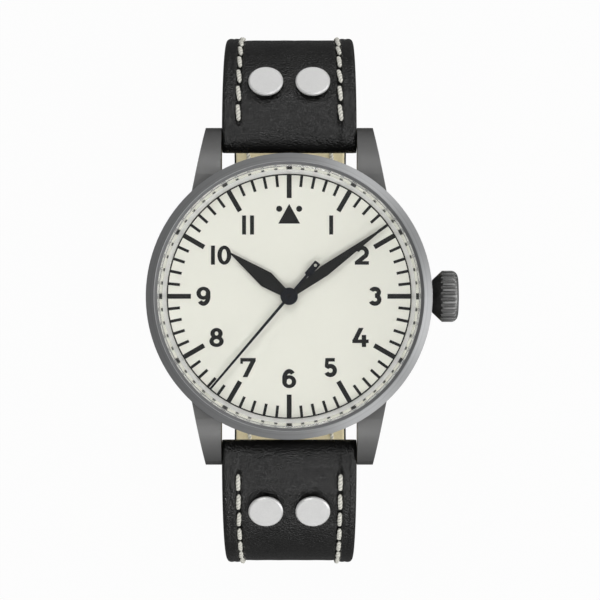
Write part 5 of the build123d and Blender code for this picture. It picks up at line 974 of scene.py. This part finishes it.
def crown_painted_light_material():
    """Blasted steel with a painted highlight on the ridges and the rounded end, and painted shade down in the
    flutes and neck.
    """
    flute_foot, ridge_top, neck, shoulder = 0.34 * MM, 0.06 * MM, 0.8 * MM, 0.4 * MM
    end_start, end_full = 0.9 * MM, 0.5 * MM
    # Shares of the steel's colour for the painted shade and the painted highlight, and of the plain speckle kept
    # under them
    painted_shade_share, painted_highlight_share, speckle_share = 0.35, 2.6, 0.35
    colour = settings()[1].case
    material = surface("rubbed crown steel")
    tree = material.node_tree
    x, y, z = own_places(tree)
    low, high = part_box("crown")
    reach = distance(tree, maths(tree, "SUBTRACT", z, STEM_Z * MM), y)
    ridge_highlight = spread(tree, reach, high.y - flute_foot, high.y - ridge_top)
    end = spread(tree, x, high.x - end_start, high.x - end_full)
    outer = spread(tree, x, low.x + neck, high.x - shoulder)
    share = maths(tree, "MULTIPLY", maths(tree, "MAXIMUM", ridge_highlight, end), outer)
    socket, speckled = base_colour(tree)
    # Painted light: the ridges and the rounded end are lit up as a painted highlight, the flutes and neck darkened
    # as painted shade
    painted_light = mix_colour(tree, share, shade(colour, painted_shade_share), shade(colour, painted_highlight_share))
    tree.links.new(mix_colour(tree, speckle_share, painted_light, speckled), socket)
    return material


def bezel_painted_shade_material():
    """Fine-turned steel whose narrow inner bevel beside the glass is left rougher and painted dark, painted shade
    standing in for the dark room it reflects.
    """
    inner, outer, bevel_painted_shade_share, dull, fine = 0.08 * MM, 0.02 * MM, 0.5, 0.6, 0.4
    material = surface("turned bezel steel with a dull bevel")
    tree = material.node_tree
    x, y, _ = own_places(tree)
    outside = spread(tree, distance(tree, x, y), BEZEL_CREST * MM - inner, BEZEL_CREST * MM + outer)
    socket, turned = base_colour(tree)
    # Painted shade: the colour inside the crest is darkened
    tree.links.new(mix_colour(tree, outside, shade(settings()[1].bezel, bevel_painted_shade_share), turned), socket)
    by_share(tree, "Roughness", outside, dull, fine)
    return material


def flange_material():
    """Silvery dial ring: satin below, polished along its upper lip, where it mirrors the minute marks' ends."""
    satin, polished, silvered = 0.45, 0.12, 0.25
    material = surface("silvered dial ring")
    tree = material.node_tree
    band = spread(tree, own_places(tree)[2], *(z * MM for z in FLANGE_BAND))
    by_share(tree, "Roughness", band, satin, polished)
    by_share(tree, "Metallic", band, silvered, 1.0)
    return material


def tipped_material():
    """Gilt brass wheel on an arbor whose upper end, under the seconds hand, is dark blued steel."""
    material = surface("gilt brass with a blued tip")
    tree = material.node_tree
    tip = spread(tree, own_places(tree)[2], *(z * MM for z in BLUED_TIP))
    socket, gilt = base_colour(tree)
    tree.links.new(mix_colour(tree, tip, gilt, shade(BLUED)), socket)
    return material


def dress(material, *nodes):
    """Gives carried-over solids a material."""
    for name in nodes:
        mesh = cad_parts[name].data
        mesh.materials.clear()
        mesh.materials.append(material)


# Pieces of the strap


def stitch_seams(name, face, other, half, seam, lift, slant_share=1.0):
    """Both seams of one face of a strap half, as one piece of thread stitches."""
    strap = settings()[0]
    run = run_of(face)
    inset, pitch = strap.stitch_inset / MM, strap.stitch_pitch / MM
    at, x = seam_places(run, half, inset, seam[0], run[-1] - seam[1], pitch)
    rows = [on_band(face, other, run, at, side * x, lift) for side in (-1, 1)]
    places, along, out = (np.concatenate([row[part] for row in rows]) for part in range(3))
    slant = slant_share * strap.stitch_slant
    mesh = stitch_mesh(name, places, along, out, strap.stitch_length / MM, strap.thread / MM, slant)
    add_piece(mesh, "case", bpy.data.materials["cream thread"])


def leather_half(name, node, low, top, half, upper, seam):
    """The padded outer leather of one strap half, with its relief worked into the outer face."""
    strap = settings()[0]
    full_relief = 1.2
    run = run_of(top)
    thick = np.hypot(*(top - low).T)
    inset, pitch = strap.stitch_inset / MM, strap.stitch_pitch / MM
    across, height, on_top = section_loop(half, thick, strap.edge_round / MM, inset)
    at, _ = seam_places(run, half, inset, seam[0], run[-1] - seam[1], pitch)
    holes_run = np.append(at - pitch / 2, at[-1] + pitch / 2)
    turn = np.arccos([RIVET_REACH / (upper + SIDE_HALF)])
    rivet = quarter(BAR_Y, BAR_Z - upper, upper + SIDE_HALF, upper + NOSE_RADIUS, turn)[0]
    rivet_run = run[np.argmin(np.hypot(np.abs(top[:, 0]) - rivet[0], top[:, 1] - rivet[1]))]
    fade = np.clip(thick / full_relief, 0, 1)[:, None]
    height = height + on_top * fade * relief(strap, run, half, across, rivet_run, holes_run)
    mesh = make_mesh(name, band_points(low, top, across, height), band_quads(*across.shape))
    return add_piece(mesh, "case", bpy.data.materials["black grained leather"], [node])


def cross_hole(y, z, radius):
    """A cutter right across the strap."""
    return prism(oblong(radius, 2 * radius, 10), np.array([0.0, y, z]), ALONG, UP, ACROSS, CUT_HALF)


def buckle_cutters():
    """The holes of the lug bar and the buckle bar, and the slot that the tongue turns in."""
    half, front, back = TONGUE_SLOT_HALF, TONGUE_SLOT_FRONT, TONGUE_SLOT_BACK
    slot = np.array([[-half, back], [half, back], [half, -front], [-half, -front]])
    return [
        cross_hole(BAR_Y, BAR_Z, LUG_BAR_HOLE),
        cross_hole(0.0, FLAT_Z, BUCKLE_BAR_HOLE),
        prism(slot, np.array([0.0, 0.0, FLAT_Z]), ACROSS, ALONG, UP, CUT_DEPTH),
    ]


def adjusting_cutters():
    """The slot that the tongue is in and the other adjusting holes, square to the long half's line."""
    run, line, away, heading = tail_line(0.1)
    cutters = []
    for number in range(-1, HOLES - 1):
        at = HOLE_FIRST + number * HOLE_PITCH
        step = int(np.argmin(np.abs(run - at)))
        outline = oblong(HOLE_RADIUS, 2 * HOLE_RADIUS if number else SLOT_LENGTH)
        pairs = (at_run(at, run, line), heading[step], away[step])
        spot, along, normal = (np.array([0.0, *pair]) for pair in pairs)
        cutters.append(prism(outline, spot, ACROSS, along, normal, CUT_DEPTH))
    return cutters


def keeper_mesh(name, middle_y):
    """A leather loop: a rounded rectangle carried round with a flat rounded section.
    Round the loop a place is corner middle + radius·(cos, sin); across it the section is a rounded bar whose
    outer face has a pressed line beside each edge."""
    line_depth, line_inset, line_width = 0.07, 0.62, 0.14
    low, high = KEEPER_LOW + KEEPER_WALL / 2, KEEPER_HIGH - KEEPER_WALL / 2
    half_x, half_z = KEEPER_INNER + KEEPER_WALL / 2 - KEEPER_CORNER, (high - low) / 2 - KEEPER_CORNER
    arcs = rounded_corners(half_x, half_z, KEEPER_CORNER, 7)
    line = np.concatenate([places for places, out in arcs]) + [0.0, (low + high) / 2]
    away = np.concatenate([out for places, out in arcs])
    ahead = np.roll(line, -1, axis=0) - line
    parts = np.maximum(1, (np.hypot(*ahead.T) / KEEPER_STEP).astype(int))
    spot = np.repeat(np.arange(len(line)), parts)
    share = (np.arange(parts.sum()) - np.repeat(np.cumsum(parts) - parts, parts)) / parts[spot]
    line, away = line[spot] + share[:, None] * ahead[spot], away[spot]
    half_y, half_wall = KEEPER_WIDTH / 2, KEEPER_WALL / 2
    arcs = rounded_corners(half_y - KEEPER_EDGE, half_wall - KEEPER_EDGE, KEEPER_EDGE, 5)
    ends = [places for places, out in arcs]
    flat = np.linspace(half_y - KEEPER_EDGE, KEEPER_EDGE - half_y, 22)[1:-1]
    dip = line_depth * np.exp(-(((np.abs(flat) - half_y + line_inset) / line_width) ** 2))
    section = np.concatenate([ends[0], np.stack([flat, half_wall - dip], axis=-1), *ends[1:]])
    x, z = (line[:, None, axis] + away[:, None, axis] * section[None, :, 1] for axis in (0, 1))
    y = middle_y + np.broadcast_to(section[None, :, 0], x.shape)
    points = np.stack([x, y, z], axis=-1).reshape(-1, 3)
    return make_mesh(name, points, lattice(len(line), len(section), True, True))


class WATCH_OT_strap_leather(Operator):
    """Adds the padded black leather of both strap halves, with their seams"""

    bl_idname = "watch.strap_leather"
    bl_label = "Strap leather"

    def execute(self, context):
        surface("black grained leather")
        surface("cream thread")
        base = LINING + LINING_GAP
        long_cutters = [cross_hole(-BAR_Y, BAR_Z, LUG_BAR_HOLE), *adjusting_cutters()]
        for side, lines, upper, seam, cutters, slant_share in (
            ("short", short_lines, SHORT_UPPER, SHORT_SEAM, buckle_cutters(), 1.0),
            ("long", long_lines, LONG_UPPER, LONG_SEAM, long_cutters, LONG_SLANT_SHARE),
        ):
            low, top, half = lines(base, None, LEATHER_STEP)
            half = round_corners(half, run_of(top), CORNER)
            piece = leather_half(f"strap_{side}_leather", f"strap_{side}_top", low, top, half, upper, seam)
            cut_away(piece, cutters)
            stitch_seams(f"strap_{side}_stitches", top, low, half, seam, OUTER_STITCH_LIFT, slant_share)
        return {"FINISHED"}


class WATCH_OT_strap_lining(Operator):
    """Adds the tan lining of both strap halves, with the seams that show on it"""

    bl_idname = "watch.strap_lining"
    bl_label = "Strap lining"

    def execute(self, context):
        tan = surface("tan lining leather")
        for side, lines, seam in (
            ("short", short_lines, SHORT_INNER_SEAM),
            ("long", long_lines, LONG_INNER_SEAM),
        ):
            low, top, half = lines(0.0, LINING, LINING_STEP)
            thick = np.hypot(*(top - low).T)
            across, height, _ = section_loop(half - LINING_INSET, thick, LINING_EDGE, LINING_SEAM)
            node = f"strap_{side}_lining"
            mesh = make_mesh(f"{node}_skin", band_points(low, top, across, height), band_quads(*across.shape))
            piece = add_piece(mesh, "case", tan, [node])
            if side == "long":
                cut_away(piece, adjusting_cutters())
            stitch_seams(f"strap_{side}_inner_stitches", low, top, half, seam, INNER_STITCH_LIFT)
        return {"FINISHED"}


class WATCH_OT_keepers(Operator):
    """Adds the fixed and the free leather keeper"""

    bl_idname = "watch.keepers"
    bl_label = "Keepers"

    def execute(self, context):
        leather = bpy.data.materials["black grained leather"]
        for node, middle_y, body in (
            ("fixed_keeper", FIXED_KEEPER_Y, "case"),
            ("free_keeper", FREE_KEEPER_Y, "loose_keeper"),
        ):
            add_piece(keeper_mesh(f"{node}_leather", middle_y), body, leather, [node])
        return {"FINISHED"}


class WATCH_OT_case(Operator):
    """Finishes the case, bezel, crown, rivets, spring bars and buckle"""

    bl_idname = "watch.case"
    bl_label = "Case and metal"

    def execute(self, context):
        dress(surface("blasted steel"), "case_middle")
        dress(crown_painted_light_material(), "crown")
        dress(surface("turned bezel steel"), "case_back")
        dress(bezel_painted_shade_material(), "bezel")
        tips = [f"bar_tip_{corner}" for corner in ("upper_right", "upper_left", "lower_right", "lower_left")]
        dress(surface("satin steel"), "buckle_frame", "buckle_tongue", "spring_bars", "crown_tube", *tips)
        dress(surface("polished rivet steel"), "strap_rivets")
        dress(surface("black rubber"), "back_gasket", "crown_gasket")
        dress(surface("white nylon"), "crystal_gasket")
        return {"FINISHED"}


class WATCH_OT_dial(Operator):
    """Finishes the dial, its print, the silvered ring round it and the hands"""

    bl_idname = "watch.dial"
    bl_label = "Dial and hands"

    def execute(self, context):
        dress(surface("cream dial paint"), "dial")
        dress(surface("black dial print"), "dial_print")
        dress(surface("black enamelled hands"), "hour_hand", "minute_hand")
        dress(surface("dark blued steel"), "seconds_hand")
        dress(flange_material(), "inner_flange")
        return {"FINISHED"}


class WATCH_OT_glass(Operator):
    """Finishes the domed crystal and the flat back glass"""

    bl_idname = "watch.glass"
    bl_label = "Glass"

    def execute(self, context):
        dress(glass("domed crystal", (1.0, 1.0, 1.0)), "crystal")
        dress(glass("flat back glass", (0.98, 1.0, 1.0)), "back_crystal")
        return {"FINISHED"}


class WATCH_OT_movement(Operator):
    """Finishes the movement that shows through the back"""

    bl_idname = "watch.movement"
    bl_label = "Movement"

    def execute(self, context):
        dress(surface("striped nickel"), "barrel_bridge", "train_bridge", "balance_bridge", "pallet_cock")
        dress(surface("grained nickel"), "main_plate", "movement_ring")
        dress(tipped_material(), "fourth_wheel")
        wheels = [f"{name}_wheel" for name in ("centre", "third", "balance", "hour", "minute")]
        dress(surface("gilt brass"), "barrel", *wheels)
        for node, finish in (
            ("ratchet_wheel", "sunray ratchet steel"),
            ("crown_wheel", "sunray crown wheel steel"),
        ):
            low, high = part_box(node)
            middle = (low + high) / 2
            dress(surface(finish, {"Middle X": middle.x, "Middle Y": middle.y}), node)
        dress(
            surface("cut steel"), "barrel_arbor", "mainspring", "click", "escape_wheel", "pallet_fork",
            "cannon_pinion", "setting_wheel", "winding_pinion", "sliding_pinion", "winding_stem", "setting_lever",
            "yoke",
        )
        dress(surface("heat-blued steel"), "movement_screws", "hairspring")
        dress(surface("red bearing jewel"), "bearing_jewels")
        return {"FINISHED"}


# Stage


def lamp(name, place, aim, size, power):
    """A round soft lamp."""
    light = bpy.data.lights.new(name, "AREA")
    light.shape = "DISK"
    light.size = size
    light.energy = power
    piece = bpy.data.objects.new(name, light)
    piece.location = place
    piece.rotation_euler = (Vector(aim) - Vector(place)).to_track_quat("-Z", "Y").to_euler()
    bpy.context.scene.collection.objects.link(piece)


def studio_world():
    """A soft white room round a darker opening straight above, so that glass and level metal aren't veiled."""
    world = bpy.data.worlds.new("studio")
    world.use_nodes = True
    tree = world.node_tree
    background = tree.nodes["Background"]
    where = tree.nodes.new("ShaderNodeTexCoord")
    parts = add_node(tree, "ShaderNodeSeparateXYZ", {0: where.outputs["Generated"]})
    ramp = tree.nodes.new("ShaderNodeValToRGB")
    ramp.color_ramp.interpolation = "EASE"
    while len(ramp.color_ramp.elements) < len(ROOM_LEVELS):
        ramp.color_ramp.elements.new(0.5)
    for element, (place, level) in zip(ramp.color_ramp.elements, ROOM_LEVELS):
        element.position = place
        element.color = (level, level, level, 1)
    tree.links.new(parts.outputs["Z"], ramp.inputs["Fac"])
    tree.links.new(ramp.outputs["Color"], background.inputs["Color"])
    strength = maths(tree, "MULTIPLY_ADD", parts.outputs["X"], ROOM_SLOPE, 1.0)
    tree.links.new(strength, background.inputs["Strength"])
    bpy.context.scene.world = world


def floor_material():
    """A pale matt floor that the camera sees as nearly white and that mirrored views see dimmed."""
    material = bpy.data.materials.new("pale floor")
    material.use_nodes = True
    tree = material.node_tree
    shader = tree.nodes["Principled BSDF"]
    shader.inputs["Base Color"].default_value = FLOOR_COLOUR
    shader.inputs["Roughness"].default_value = 0.9
    glow = add_node(tree, "ShaderNodeEmission", {"Color": (1, 1, 1, 1), "Strength": 1.0})
    path = tree.nodes.new("ShaderNodeLightPath")
    seen = maths(tree, "MULTIPLY", path.outputs["Is Camera Ray"], FLOOR_GLOW)
    mirrored = maths(tree, "MULTIPLY", path.outputs["Is Glossy Ray"], FLOOR_DIMMING)
    dimmed = add_node(tree, "ShaderNodeMixShader", {0: mirrored, 1: shader.outputs[0]})
    either = add_node(tree, "ShaderNodeMixShader", {0: seen, 1: dimmed.outputs[0], 2: glow.outputs[0]})
    tree.links.new(either.outputs[0], tree.nodes["Material Output"].inputs["Surface"])
    return material


class WATCH_OT_stage(Operator):
    """Adds the floor, the lamps, the room and the camera"""

    bl_idname = "watch.stage"
    bl_label = "Stage"

    def execute(self, context):
        scene = context.scene
        scene.view_settings.view_transform = "Standard"
        signs = ((-1, -1), (1, -1), (1, 1), (-1, 1))
        corners = [(x * FLOOR_REACH, y * FLOOR_REACH, cad_low.z) for x, y in signs]
        mesh = bpy.data.meshes.new("floor")
        mesh.from_pydata(corners, [], [[0, 1, 2, 3]])
        mesh.materials.append(floor_material())
        floor = bpy.data.objects.new("floor", mesh)
        scene.collection.objects.link(floor)
        for row in LAMPS:
            lamp(*row)
        studio_world()
        camera = bpy.data.cameras.new("camera")
        camera.lens = LENS
        camera.sensor_width = SENSOR
        camera.clip_start = 0.01
        camera.clip_end = 20.0
        holder = bpy.data.objects.new("camera", camera)
        holder.location = (CAMERA_X * MM, CAMERA_Y * MM, CAMERA_Z * MM)
        scene.collection.objects.link(holder)
        scene.camera = holder
        return {"FINISHED"}


class WATCH_PT_panel(Panel):
    """Lists what the watch is made of"""

    bl_idname = "WATCH_PT_panel"
    bl_label = "Pilot Watch"
    bl_space_type = "VIEW_3D"
    bl_region_type = "UI"
    bl_category = "Watch"

    def draw(self, context):
        layout = self.layout
        for group in (context.scene.watch_strap, context.scene.watch_colours):
            box = layout.box()
            for name in group.bl_rna.properties.keys():
                if name not in ("rna_type", "name"):
                    box.prop(group, name)
        for kind in OPERATORS:
            layout.operator(kind.bl_idname)


OPERATORS = (
    WATCH_OT_strap_leather,
    WATCH_OT_strap_lining,
    WATCH_OT_keepers,
    WATCH_OT_case,
    WATCH_OT_dial,
    WATCH_OT_glass,
    WATCH_OT_movement,
    WATCH_OT_stage,
)
CLASSES = (WatchStrap, WatchColours, *OPERATORS, WATCH_PT_panel)


def register():
    for kind in CLASSES:
        bpy.utils.register_class(kind)
    bpy.types.Scene.watch_strap = PointerProperty(type=WatchStrap)
    bpy.types.Scene.watch_colours = PointerProperty(type=WatchColours)


def unregister():
    del bpy.types.Scene.watch_strap
    del bpy.types.Scene.watch_colours
    for kind in reversed(CLASSES):
        bpy.utils.unregister_class(kind)


def main():
    """Builds the watch piece by piece."""
    register()
    for kind in OPERATORS:
        group, name = kind.bl_idname.split(".")
        result = getattr(getattr(bpy.ops, group), name)()
        if result != {"FINISHED"}:
            raise RuntimeError(f"{kind.bl_label} did not finish")


if __name__ == "__main__":
    main()
